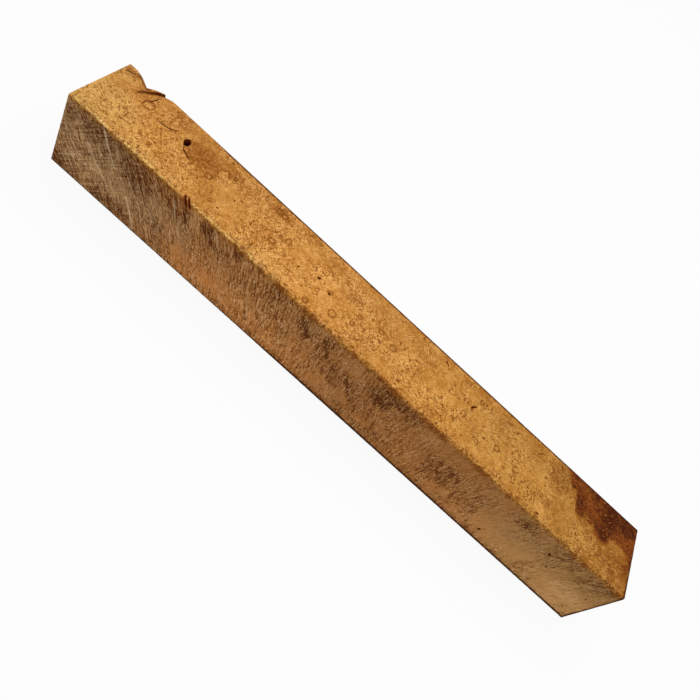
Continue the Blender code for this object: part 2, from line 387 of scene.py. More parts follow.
class Paint(Graph):
    """The nodes of a material that ends in a Principled shader."""

    def __init__(self, name: str) -> None:
        """Start a material of this name."""
        self.material = bpy.data.materials.new(name)
        self.material.use_nodes = True
        super().__init__(self.material.node_tree)
        self.shader = self.tree.nodes["Principled BSDF"]

    def surface(self, colour: object, rough: Value, specular: float) -> None:
        """Set the shader's colour, roughness and gloss."""
        self.feed(self.shader.inputs["Base Color"], colour)
        self.feed(self.shader.inputs["Roughness"], rough)
        self.shader.inputs["Specular IOR Level"].default_value = specular

    def relief(self, height: Wire, distance: float, strength: float) -> None:
        """Bend the shader's normal by a fine relief.

        Args:
            height: the height, from about 0 to 1.
            distance: how far 1 stands above 0, in metres.
            strength: how much of it is felt.
        """
        node = self.add("Bump")
        node.inputs["Strength"].default_value = strength
        node.inputs["Distance"].default_value = distance
        self.feed(node.inputs["Height"], height)
        self.feed(self.shader.inputs["Normal"], node.outputs["Normal"])


@dataclass(frozen=True)
class Palette:
    """The colours of the burl, in linear light."""

    gold: Tone = Tone(0.600, 0.262, 0.054)
    pale: Tone = Tone(0.890, 0.475, 0.150)
    straw: Tone = Tone(1.0, 0.99, 0.80)
    honey: Tone = Tone(0.380, 0.132, 0.018)
    amber: Tone = Tone(0.290, 0.086, 0.008)
    olive: Tone = Tone(0.730, 0.465, 0.140)
    fleck: Tone = Tone(0.180, 0.046, 0.003)
    heart: Tone = Tone(0.155, 0.036, 0.006)
    heart_pale: Tone = Tone(0.290, 0.082, 0.012)
    heart_dark: Tone = Tone(0.060, 0.011, 0.003)
    heart_glint: Tone = Tone(0.440, 0.150, 0.030)
    sawn_grey: Tone = Tone(0.450, 0.245, 0.104)
    sawn_warm: Tone = Tone(0.560, 0.225, 0.060)
    sawn_tan: Tone = Tone(0.540, 0.280, 0.092)
    sawn_pale: Tone = Tone(0.950, 0.600, 0.290)
    sawn_dark: Tone = Tone(0.140, 0.034, 0.008)
    scratch: Tone = Tone(0.960, 0.690, 0.400)
    crumb: Tone = Tone(0.170, 0.050, 0.010)
    lip: Tone = Tone(0.720, 0.290, 0.042)
    ember: Tone = Tone(0.290, 0.072, 0.009)
    # rim: a painted highlight along the worn front arris.
    rim: Tone = Tone(0.960, 0.690, 0.230)
    rust: Tone = Tone(0.330, 0.060, 0.006)
    bark: Tone = Tone(0.110, 0.014, 0.003)


@dataclass(frozen=True)
class Eye:
    """A bud seen end on in the top face: its place and its ring's radius, in millimetres."""

    along: float
    inset: float
    radius: float

    def place(self) -> tuple[float, float, float]:
        """Where the eye stands, counted from the middle of the billet."""
        return (self.along - HALF_LENGTH_MM, HALF_WIDTH_MM - self.inset, 0.0)


@dataclass(frozen=True)
class Scratch:
    """A scratch or dark tear down the front face, in millimetres, and its half width."""

    along: float
    down: float
    end_along: float
    end_down: float
    half_width: float
    strength: float

    def line(self) -> tuple[Vector, Vector]:
        """Where the scratch starts, and its run from there to its end."""
        start = Vector((self.along, self.down, 0.0))
        return start, Vector((self.end_along, self.end_down, 0.0)) - start

    def gap(self, along: float, down: float) -> float:
        """How far a place on the face is from the scratch's middle line."""
        start, span = self.line()
        away = Vector((along, down, 0.0)) - start
        share = min(max(away.dot(span) / span.length_squared, 0.0), 1.0)
        return (away - span * share).length


EYES = tuple(Eye(*row) for row in (
    (19, 12.1, 2.4), (57.6, 19.4, 1.5), (121.5, 34.5, 1.2), (133.3, 29.8, 1.9), (143.2, 20, 1),
    (154.3, 18.1, 1.35), (162.4, 20.3, 1.7), (99.6, 15.7, 1.2), (94.8, 22.2, 1.5), (224, 23, 1.4),
    (236, 24.7, 1.6), (208.8, 8.2, 1), (279.5, 7.8, 1.5), (87.5, 5.8, 1.3), (90.7, 6, 1.3)))
# Painted glints: small highlights in the middles of some eyes.
EYE_GLINTS = tuple(Eye(*row) for row in (
    (87.3, 5.6, 0.75), (90.5, 5.7, 0.75), (58.1, 19.6, 0.7), (263.2, 15.9, 0.4),
    (265.7, 18.4, 0.4), (279.6, 7.7, 0.6), (154.2, 18.4, 0.6), (121.5, 34.6, 0.5)))
SCRATCHES = tuple(Scratch(*row) for row in (
    (17.6, 0, 23, 8.3, 0.55, 1), (22.5, 7.5, 28.2, 14.7, 0.45, 0.75),
    (13.4, 13.5, 20.5, 20.3, 0.4, 0.45), (20, 19.9, 28, 26.3, 0.45, 0.55),
    (28, 26.3, 36.4, 34.9, 0.35, 0.25), (37.2, 23, 45.5, 35.7, 0.45, 0.65),
    (50.4, 29.8, 54.6, 36.3, 0.4, 0.55), (56.6, 4.9, 59.4, 12.1, 0.4, 0.45),
    (3, 31.3, 12.5, 22.6, 0.4, 0.4), (25, 2.3, 28.5, 8.8, 0.35, 0.45),
    (84, 13.3, 94, 33.3, 0.3, 0.2), (62, 14.3, 66, 22.3, 0.35, 0.3),
    (29.5, 13.8, 36, 21, 0.35, 0.3), (5, 19.5, 12, 23.5, 0.35, 0.3),
    (77, 2, 84, 12.5, 0.35, 0.45), (100, 14, 108, 30, 0.3, 0.25)))
TEARS = tuple(Scratch(*row) for row in (
    (126, 4.9, 132.5, 12.1, 0.8, 1), (139, 6.5, 143.8, 13, 0.8, 1),
    (138, 1.6, 139.8, 7, 0.6, 0.7), (148.7, 12, 150.7, 17, 0.6, 0.8),
    (156, 14.6, 161.7, 21.8, 0.7, 0.8), (169.8, 9.7, 175.5, 13, 1, 1),
    (172, 4, 182, 6.5, 0.7, 0.8), (188.5, 4.9, 190, 8, 0.6, 0.7),
    (145.5, 19.4, 147, 22.6, 0.5, 0.7), (104.9, 26.7, 107.7, 30.7, 0.6, 0.9),
    (112.2, 3, 113.4, 7.3, 0.6, 0.8), (116, 7.3, 119.5, 8.9, 0.5, 0.7),
    (195.8, 25, 197.4, 29, 0.5, 0.6), (182, 28.3, 183.6, 32.3, 0.6, 0.8),
    (61.5, 4.2, 64.8, 10.5, 0.7, 1), (73.7, 3.2, 77.8, 9.7, 1, 0.9),
    (57.1, 4.9, 58, 6.5, 0.4, 0.9), (89.8, 0.8, 90.8, 4.5, 0.6, 0.9),
    (79.8, 8.9, 81.8, 11.3, 0.5, 0.7), (253, 5.7, 255.6, 8.9, 0.7, 0.9),
    (214.5, 12.5, 218, 15.4, 0.7, 0.7), (221, 14.5, 222.3, 19.4, 0.6, 0.7),
    (225.5, 23.4, 226.4, 28.3, 0.6, 0.7), (211, 18, 214.2, 21.8, 0.7, 0.7),
    (101, 8, 106.5, 17, 0.5, 0.6), (119, 15, 122, 21, 0.5, 0.5), (36, 5, 40, 10, 0.7, 0.8),
    (27, 4, 31, 9, 0.7, 0.7)))


@dataclass(frozen=True)
class Wood:
    """The wood at the place being shaded, in millimetres counted from the billet's middle."""

    paint: Paint
    place: Wire
    along: Wire
    x: Wire
    y: Wire
    z: Wire
    below: Wire

    def zone(self, name: str) -> Wire:
        """The strength of a zone that was laid out on the billet."""
        node = self.paint.add("Attribute", attribute_type="GEOMETRY", attribute_name=name)
        return Wire(self.paint, node.outputs["Fac"])


@dataclass(frozen=True)
class Figure:
    """What the burl shows in any cut through it: masks, and two slow noises around 0. The crest
    highlights and the glints are painted highlights.
    """

    tone: Wire
    worms: Wire
    fuzz: Wire
    busy: Wire
    curls: Wire
    crest_highlights: Wire
    rings: Wire
    halos: Wire
    cores: Wire
    specks: Wire
    glints: Wire
    curled: Wire


@dataclass(frozen=True)
class BurlFigure:
    """The figure of the wood: buds seen end on in the top face and as streaks in the sides."""

    height_mm: float
    streak: float = 0.17
    lean_left: float = 0.85
    lean_right: float = -0.35
    lean_all: float = 0.06
    bud_pitch_mm: float = 4.3
    speck_pitch_mm: float = 1.15

    def wood(self, paint: Paint) -> Wood:
        """Find the place in the wood's own grain, which fans out along the billet.

        Args:
            paint: the material.

        Returns:
            The wood, with the true place, and the place shortened along the grain, where an even
            pattern becomes a streak.
        """
        coordinates = paint.add("TexCoord").outputs["Object"]
        place = paint.vector("SCALE", coordinates, 1 / MM)
        x, y, z = place.split()
        rise = z - self.height_mm
        lean = x.step(5.0, -150.0) * self.lean_left + x.step(0.0, 150.0) * self.lean_right
        across = x + rise * (lean + self.lean_all)
        along = paint.join(across, y + rise * 0.1, rise * self.streak)
        return Wood(paint, place, along, x, y, z, self.height_mm - z)

    def masks(self, wood: Wood) -> Figure:
        """Build the figure's masks.

        Args:
            wood: the wood at the place being shaded.

        Returns:
            The masks.
        """
        swirled = wood.along.warped(0.20, 4.5)
        curled = swirled.warped(0.55, 1.6)
        hills = curled.cloud(0.42, 1.0) * 3.4
        bands = wood.paint.math("PINGPONG", hills, 0.5)
        broken = swirled.cloud(0.60).step(0.44, 0.52)
        rings, halos, cores = self.buds(curled)
        placed_rings, bright = self.placed_eyes(wood)
        reach, tint, _, _ = wood.paint.cells(swirled, self.speck_pitch_mm)
        dots = reach.step(0.50, 0.25)
        return Figure(
            tone=wood.along.drift(0.085, 3.0),
            worms=curled.drift(0.42, 2.0, 0.6),
            fuzz=wood.along.cloud(1.6, 2.0, 0.65),
            busy=wood.along.cloud(0.07).step(0.49, 0.62).most(wood.zone("busy")),
            curls=bands.step(0.34, 0.43) * broken,
            # Pale lines beside the curls: painted highlights along their edges.
            crest_highlights=(bands.step(0.20, 0.28) - bands.step(0.30, 0.36)) * broken,
            rings=rings.most(placed_rings),
            halos=halos,
            cores=cores,
            specks=dots * tint.step(0.68, 0.80),
            # Pale dots: painted glints.
            glints=(dots * tint.step(0.26, 0.14)).most(bright),
            curled=curled)

    def buds(self, at: Wire) -> tuple[Wire, Wire, Wire]:
        """Scatter buds, each with a broken ring, a pale body or a dark core.

        Args:
            at: the place.

        Returns:
            The masks of the rings, the bodies and the cores.
        """
        reach, size, ringed, cored = at.graph.cells(at, self.bud_pitch_mm)
        radius = size * 1.1 + 0.5
        has_ring = ringed.step(0.50, 0.54)
        arc = at.cloud(0.6, 0.0).step(0.42, 0.56) * 0.7 + 0.3
        rings = abs(reach - radius).step(0.45, 0.08) * has_ring * arc
        halos = reach.step(radius, radius * 0.4) * has_ring
        cores = reach.step(0.55, 0.15) * cored.step(0.62, 0.66)
        return rings, halos, cores

    def placed_eyes(self, wood: Wood) -> tuple[Wire, Wire]:
        """Draw the eyes that stand out in the photograph where they stand.

        Args:
            wood: the wood at the place being shaded.

        Returns:
            The mask of their rings, and that of the painted glints in their middles.
        """
        far = 9.0
        x, y, _ = wood.along.warped(0.3, 1.6).warped(1.1, 0.9).split()
        flat = wood.paint.join(x, y, 0.0)
        off_ring = off_glint = far
        for eye in EYES:
            reach = wood.paint.vector("DISTANCE", flat, eye.place())
            off_ring = abs(reach - eye.radius).least(off_ring)
        for eye in EYE_GLINTS:
            reach = wood.paint.vector("DISTANCE", flat, eye.place())
            off_glint = (reach - eye.radius).least(off_glint)
        shallow = wood.z.step(self.height_mm - 6.0, self.height_mm - 0.5)
        broken = wood.along.cloud(0.75, 1.0).step(0.42, 0.52) + 0.55
        rings = (off_ring.step(0.62, 0.22) * shallow * broken).least(1.0)
        return rings, off_glint.step(0.15, -0.35) * shallow


@dataclass(frozen=True)
class LongFaceFinish:
    """The long faces: a golden cut skin on top, and duller, rougher sides below it."""

    palette: Palette
    burl: BurlFigure
    specular: float = 0.02
    relief: float = 0.00030

    def material(self) -> bpy.types.Material:
        """Build the material.

        Returns:
            The material.
        """
        inks = self.palette
        paint = Paint("burl_long_faces")
        wood = self.burl.wood(paint)
        figure = self.burl.masks(wood)
        side, side_height = self.sawn_side(wood, figure)
        skin = self.skin_mask(wood)
        colour = paint.mix(skin, side, self.cut_skin(wood, figure))
        blotches = wood.along.drift(0.60, 4.0, 0.65) * 2.2 + wood.place.drift(1.3, 2.0, 0.6) * 2.8
        ember = wood.zone("ember")
        burnt = (ember * 0.85 + blotches).step(0.15, 0.75) * ember.step(0.0, 0.25)
        # Painted highlight along the worn front arris, in the rim colour.
        colour = colour.covered(self.rim(wood) * 0.75, inks.rim)
        colour = colour.covered(burnt * 0.68, inks.ember)
        colour = colour.covered(self.chipped(wood) * 0.74, inks.crumb)
        paint.surface(colour, skin * -0.12 + (figure.fuzz * 0.12 + 0.74), self.specular)
        hollows = (figure.curls * 0.5).most(figure.specks, figure.cores)
        smooth = figure.fuzz * 0.9 - hollows * 0.5
        coarse = side_height + figure.fuzz * 0.4
        paint.relief(smooth * (skin * 0.5) + coarse * (1.0 - skin), self.relief, 0.9)
        return paint.material

    def rim(self, wood: Wood) -> Wire:
        """A painted highlight: the bright line along the worn arris at the top's near edge.

        Args:
            wood: the wood at the place being shaded.

        Returns:
            Its mask.
        """
        line = abs(wood.y + (HALF_WIDTH_MM - 0.80)) + wood.place.drift(0.8, 3.0, 0.75) * 4.8
        gaps = wood.place.cloud(0.38, 3.0, 0.65).step(0.42, 0.56)
        near = line.step(0.85, 0.15) * wood.below.step(0.7, 0.25)
        return near * wood.zone("rim") * (gaps * 0.90 + 0.20)

    def chipped(self, wood: Wood) -> Wire:
        """The dark crumbs that broke out along the worn arris.

        Args:
            wood: the wood at the place being shaded.

        Returns:
            Their mask.
        """
        grit = wood.place.moved((0.0, 50.0, 0.0)).cloud(0.8, 3.0, 0.7)
        off_arris = wood.below + (wood.y + HALF_WIDTH_MM)
        return grit.step(0.52, 0.57) * wood.below.step(3.5, 1.0) * off_arris.step(3.6, 2.4)

    def skin_mask(self, wood: Wood) -> Wire:
        """Where the golden skin lies: the top face, and a ragged strip over its worn arris.

        Args:
            wood: the wood at the place being shaded.

        Returns:
            The skin's mask.
        """
        ragged = wood.place.drift(0.55, 4.0, 0.6) * 3.6
        edge = wood.zone("spill") + ragged * wood.below.step(0.05, 0.6)
        return (wood.below - edge).step(0.30, -0.10)

    def cut_skin(self, wood: Wood, figure: Figure) -> Wire:
        """The colour of the top face.

        Args:
            wood: the wood at the place being shaded.
            figure: the masks of the figure.

        Returns:
            The colour.
        """
        inks = self.palette
        fine = (figure.fuzz - 0.5 + self.hatched(wood)) * (figure.busy * 0.65 + 0.45)
        level = figure.tone * 0.45 + figure.worms * 0.22 + fine + 0.5
        colour = wood.paint.ramp(level, (0.30, inks.honey), (0.49, inks.gold), (0.70, inks.pale))
        colour = colour.covered(wood.x.step(-20.0, 80.0) * 0.9, inks.straw, "MULTIPLY")
        colour = colour.covered(wood.zone("olive").step(0.0, 1.0) * 0.45, inks.olive)
        grainy = (figure.fuzz - 0.5) * -1.2 + figure.worms * -1.6
        stain = wood.zone("stain") + grainy
        colour = colour.covered(stain.step(0.15, 1.25) * 0.85, inks.amber)
        crowd = figure.busy * 0.70 + 0.30
        # Painted highlights (crest lines, glints) and the buds' pale bodies, laid on in the pale
        # colour.
        light = (figure.crest_highlights * crowd * 0.8).most(figure.halos * 0.4, figure.glints)
        colour = colour.covered(light * 0.58, inks.pale)
        marks = (figure.curls * crowd).most(figure.rings * 0.9, figure.cores * 0.8,
                                            figure.specks * crowd)
        colour = colour.covered(marks * 0.85, inks.fleck)
        scorch = wood.zone("scorch") + grainy
        colour = colour.covered(scorch.step(0.2, 1.0) * 0.85, inks.fleck)
        colour = self.heartwood(wood, figure, colour.scaled(wood.zone("light")), marks)
        # Painted shade along the edges.
        return self.painted_edge_shade(wood, figure, colour)

    def hatched(self, wood: Wood) -> Wire:
        """Fine slanting strokes that the saw left in the top face.

        Args:
            wood: the wood at the place being shaded.

        Returns:
            A value around 0.
        """
        rising = wood.x + wood.y
        falling = wood.x - wood.y
        first = wood.paint.join(rising * 0.22, falling, 0.0).drift(1.25, 2.0, 0.6)
        second = wood.paint.join(rising, falling * 0.22, 9.0).drift(1.25, 2.0, 0.6)
        return (first + second) * 0.8

    def painted_edge_shade(self, wood: Wood, figure: Figure, colour: Wire) -> Wire:
        """Paint shade along the back arris, the right end and the foot, where it stands for the
        contact shadow.

        Args:
            wood: the wood at the place being shaded.
            figure: the masks of the figure.
            colour: the colour under the painted shade.

        Returns:
            The darkened colour.
        """
        back = (HALF_WIDTH_MM - 0.3 - wood.y) + wood.below + wood.x.step(-95.0, -110.0)
        foot = (wood.z - 0.9) + (wood.y + HALF_WIDTH_MM) + wood.x.step(-10.0, -60.0) * 0.9
        end = (HALF_LENGTH_MM - wood.x) + wood.below.step(1.0, 5.0) * 0.65
        gap = back.least(foot, end) + figure.worms * 0.8
        # Painted shade, laid on in the heartwood's darkest colour.
        return colour.covered(gap.step(1.2, 0.60) * 0.88, self.palette.heart_dark)

    def heartwood(self, wood: Wood, figure: Figure, under: Wire, marks: Wire) -> Wire:
        """Lay the red-brown heartwood over the golden skin where it shows.

        Args:
            wood: the wood at the place being shaded.
            figure: the masks of the figure.
            under: the colour of the skin.
            marks: the mask of the skin's dark marks.

        Returns:
            The colour.
        """
        inks = self.palette
        zone = wood.zone("heartwood")
        wide = figure.curled.drift(0.16, 3.0, 0.6)
        lobes = wood.along.moved((0.0, 30.0, 0.0)).drift(0.15, 1.0)
        ragged = wood.along.drift(0.30, 5.0, 0.75) * 1.9 + lobes * 1.4
        ragged = ragged + self.hatched(wood) * 1.5 + wide * 0.8
        depth = zone + ragged * zone.step(0.0, 0.30)
        veins = wide * 0.8 + figure.curled.drift(0.85, 3.0, 0.65) * 1.25 + 0.47
        veins = veins + wood.zone("core") * -0.34 + wood.zone("ruddy") * 0.07
        red = wood.paint.ramp(veins, (0.26, inks.heart_dark), (0.48, inks.heart),
                              (0.78, inks.heart_pale))
        red = red.covered(marks * 0.7, inks.heart_dark)
        # Painted highlights (glints, crest lines) and pale buds in the heartwood.
        light = figure.glints.most(figure.crest_highlights, figure.halos * 0.6)
        red = red.covered(light * 0.50, inks.heart_glint)
        warm = under.covered(depth.step(-0.15, 0.45) * 0.80, inks.amber)
        return warm.covered(depth.step(0.25, 0.70), red)

    def torn_grain(self, wood: Wood, dusk: Wire) -> Wire:
        """The grain of the sides, which the saw tore into streaks and crumbs and scored.

        Args:
            wood: the wood at the place being shaded.
            dusk: how dark the place is.

        Returns:
            A value around 0.
        """
        x, y, z = wood.along.split()
        streaks = wood.along.drift(1.25, 3.0, 0.65) * (wood.zone("torn") * 0.95 + 0.40)
        crumbs = wood.paint.join(x + 40.0, y, z * 3.0).drift(1.7, 3.0, 0.75) * 1.36
        falling = wood.paint.join(x + 90.0, y, z * 0.28).drift(1.1, 3.0, 0.65)
        rising = wood.paint.join(wood.x + wood.below, y, wood.below * -0.05).drift(1.1, 3.0, 0.65)
        crossing = wood.x.step(-95.0, -125.0).most(wood.x.step(35.0, 70.0))
        scores = (falling + rising * crossing) * (wood.x.step(-90.0, -125.0) * 0.15 + 0.50)
        crumbly = wood.place.cloud(0.11, 3.0, 0.6).step(0.44, 0.60).most(dusk.step(0.2, 0.8))
        crumbly = (crumbly * 0.50 + 0.75) * (1.0 - wood.zone("calm") * 0.40)
        return (streaks + crumbs + scores) * wood.zone("rough") * crumbly

    def sawn_side(self, wood: Wood, figure: Figure) -> tuple[Wire, Wire]:
        """The colour and height of the sides.

        Args:
            wood: the wood at the place being shaded.
            figure: the masks of the figure.

        Returns:
            The colour, and a height from 0 to 1.
        """
        inks = self.palette
        dusk = wood.zone("dusk")
        grain = self.torn_grain(wood, dusk)
        wide = wood.along.drift(0.13) * 0.8
        warm = (wood.zone("warm") + wide).step(0.1, 0.9)
        colour = wood.paint.mix(warm, inks.sawn_grey, inks.sawn_warm)
        colour = colour.covered((wood.zone("tan") + wide).step(0.1, 0.9), inks.sawn_tan)
        colour = colour.covered(grain.step(0.02, -0.30) * 0.80, inks.sawn_dark)
        colour = colour.covered(grain.step(0.02, 0.40) * (0.80 - dusk * 0.42), inks.sawn_pale)
        chunks = wood.place.moved((0.0, 0.0, 70.0)).drift(0.36, 3.0, 0.65)
        dark = dusk * 0.90 + grain * -2.0 + chunks * -1.6 + figure.worms * -1.5
        colour = colour.covered(dark.step(0.15, 1.40) * 0.80, inks.sawn_dark)
        tear = wood.zone("tear")
        opened = (tear + grain * -1.3).step(0.30, 0.85) * (tear.step(0.0, 0.2) * 0.75)
        colour = colour.covered(opened, inks.sawn_dark)
        crowd = (figure.busy * 0.4 + dusk * 0.5 + 0.15).least(0.9)
        marks = figure.curls.most(figure.specks * 0.9, figure.cores) * crowd
        colour = colour.covered(marks * 0.70, inks.sawn_dark)
        glow = wood.zone("glow") * grain.step(-0.25, 0.10)
        colour = colour.covered(glow * 0.35, inks.sawn_pale)
        lip = (wood.below + grain * -2.0).step(2.8, 0.5)
        colour = colour.covered(lip * 0.68, inks.lip)
        heart = (wood.zone("heartwood") + grain * 0.6).step(0.35, 0.80)
        red = wood.paint.ramp(grain + 0.45, (0.10, inks.heart_dark), (0.45, inks.heart),
                              (0.90, inks.heart_pale))
        colour = colour.covered(heart * 0.85, red)
        scores = self.scratched(wood, grain)
        colour = colour.covered(scores * 0.90, inks.scratch).scaled(wood.zone("light"))
        # Painted shade along the edges.
        return self.painted_edge_shade(wood, figure, colour), grain * 1.4 + marks * -0.25 + scores * 0.3

    def scratched(self, wood: Wood, grain: Wire) -> Wire:
        """Draw the pale saw scratches of the front face.

        Args:
            wood: the wood at the place being shaded.
            grain: a grain around 0 that breaks the scratches up.

        Returns:
            Their mask.
        """
        paint = wood.paint
        spot = paint.join(wood.x + HALF_LENGTH_MM, wood.below, 0.0)
        scores = 0.0
        for scratch in SCRATCHES:
            start, span = scratch.line()
            away = paint.vector("SUBTRACT", spot, start)
            run = paint.vector("DOT_PRODUCT", away, span / span.length_squared)
            share = paint.math("ADD", run, 0.0, clamp=True)
            gap = paint.vector("DISTANCE", away, paint.vector("SCALE", span, share))
            line = gap.step(scratch.half_width * 1.7, scratch.half_width * 0.2)
            scores = (line * scratch.strength).most(scores)
        front = wood.y.step(2.0 - HALF_WIDTH_MM, 1.0 - HALF_WIDTH_MM)
        return scores * front * grain.step(-0.60, -0.02)


@dataclass(frozen=True)
class EndFinish:
    """The sawn ends: duller end grain, crossed by the arcs that the saw left."""

    palette: Palette
    burl: BurlFigure
    specular: float = 0.02
    relief: float = 0.00025

    def material(self) -> bpy.types.Material:
        """Build the material.

        Returns:
            The material.
        """
        inks = self.palette
        paint = Paint("burl_end_grain")
        wood = self.burl.wood(paint)
        figure = self.burl.masks(wood)
        fibres = paint.join(wood.x, wood.y, wood.z * 0.45).cloud(1.5, 4.0, 0.7)
        level = fibres + wood.place.drift(0.12, 3.0, 0.6) * 0.5
        colour = paint.ramp(level, (0.28, inks.sawn_dark), (0.46, inks.sawn_grey),
                            (0.58, inks.sawn_tan), (0.80, inks.sawn_pale))
        marks = (figure.curls * 0.6).most(figure.specks, figure.rings)
        colour = colour.covered(marks * 0.5, inks.sawn_dark)
        heart = wood.zone("heartwood") + wood.place.drift(0.22, 5.0, 0.7) * 1.4
        red = paint.ramp(level, (0.30, inks.heart_dark), (0.50, inks.heart),
                         (0.75, inks.heart_pale))
        colour = colour.covered(heart.step(0.25, 0.75) * 0.88, red)
        paint.surface(colour, figure.fuzz * 0.15 + 0.74, self.specular)
        paint.relief(figure.fuzz + marks * -0.4, self.relief, 0.8)
        return paint.material


@dataclass(frozen=True)
class HollowFinish:
    """Torn wood inside the chip; rust and bark in holes and cracks, darker with depth as painted
    shade.
    """

    palette: Palette
    burl: BurlFigure
    roughness: float = 0.85
    relief: float = 0.0003

    def material(self) -> bpy.types.Material:
        """Build the material.

        Returns:
            The material.
        """
        inks = self.palette
        paint = Paint("burl_hollows")
        wood = self.burl.wood(paint)
        fibres = wood.along.cloud(2.4, 3.0, 0.6)
        torn = paint.ramp(fibres, (0.32, inks.sawn_dark), (0.52, inks.sawn_grey),
                          (0.70, inks.sawn_tan))
        # Rust, then bark, darker with depth: the hollows' own colours with painted shade.
        bark_and_depth_shade = wood.zone("bark_and_depth_shade") + wood.place.drift(0.7, 4.0, 0.7) * 0.9
        colour = torn.covered(bark_and_depth_shade.step(0.02, 0.30) * 0.85, inks.rust)
        colour = colour.covered(bark_and_depth_shade.step(0.35, 0.95), inks.bark)
        paint.surface(colour, self.roughness, 0.0)
        paint.relief(fibres, self.relief, 0.9)
        return paint.material


@dataclass(frozen=True)
class Patch:
    """An oval on a face: its middle and half sizes in millimetres, and its strength."""

    along: float
    down: float
    half_along: float
    half_down: float
    strength: float = 1.0

    def at(self, along: float, down: float) -> float:
        """The patch's strength at a place, which fades smoothly to 0 at its rim."""
        if abs(along - self.along) > 1.15 * self.half_along:
            return 0.0
        reach = math.hypot((along - self.along) / self.half_along,
                           (down - self.down) / self.half_down)
        return self.strength * smooth_step(reach, 1.15, 0.35)


class Spot(NamedTuple):
    """A place in millimetres: along from the left, in from the back and down from the top."""

    along: float
    inset: float
    down: float


def smooth_step(value: float, start: float, end: float) -> float:
    """A smooth rise from 0 at start to 1 at end, or a fall where end is the lower."""
    share = min(max((value - start) / (end - start), 0.0), 1.0)
    return share * share * (3 - 2 * share)


def along_line(points: list[tuple[float, float]], at: float) -> float:
    """The height of a broken line at a place along it.

    Args:
        points: the line's corners, each a place and a height.
        at: the place.

    Returns:
        The height, which stays level past both ends.
    """
    if at <= points[0][0]:
        return points[0][1]
    for (start, low), (end, high) in zip(points, points[1:]):
        if at <= end:
            return low + (high - low) * (at - start) / (end - start)
    return points[-1][1]


def patches(*rows: tuple[float, ...]) -> list[Patch]:
    """Patches from rows of their numbers."""
    return [Patch(*row) for row in rows]


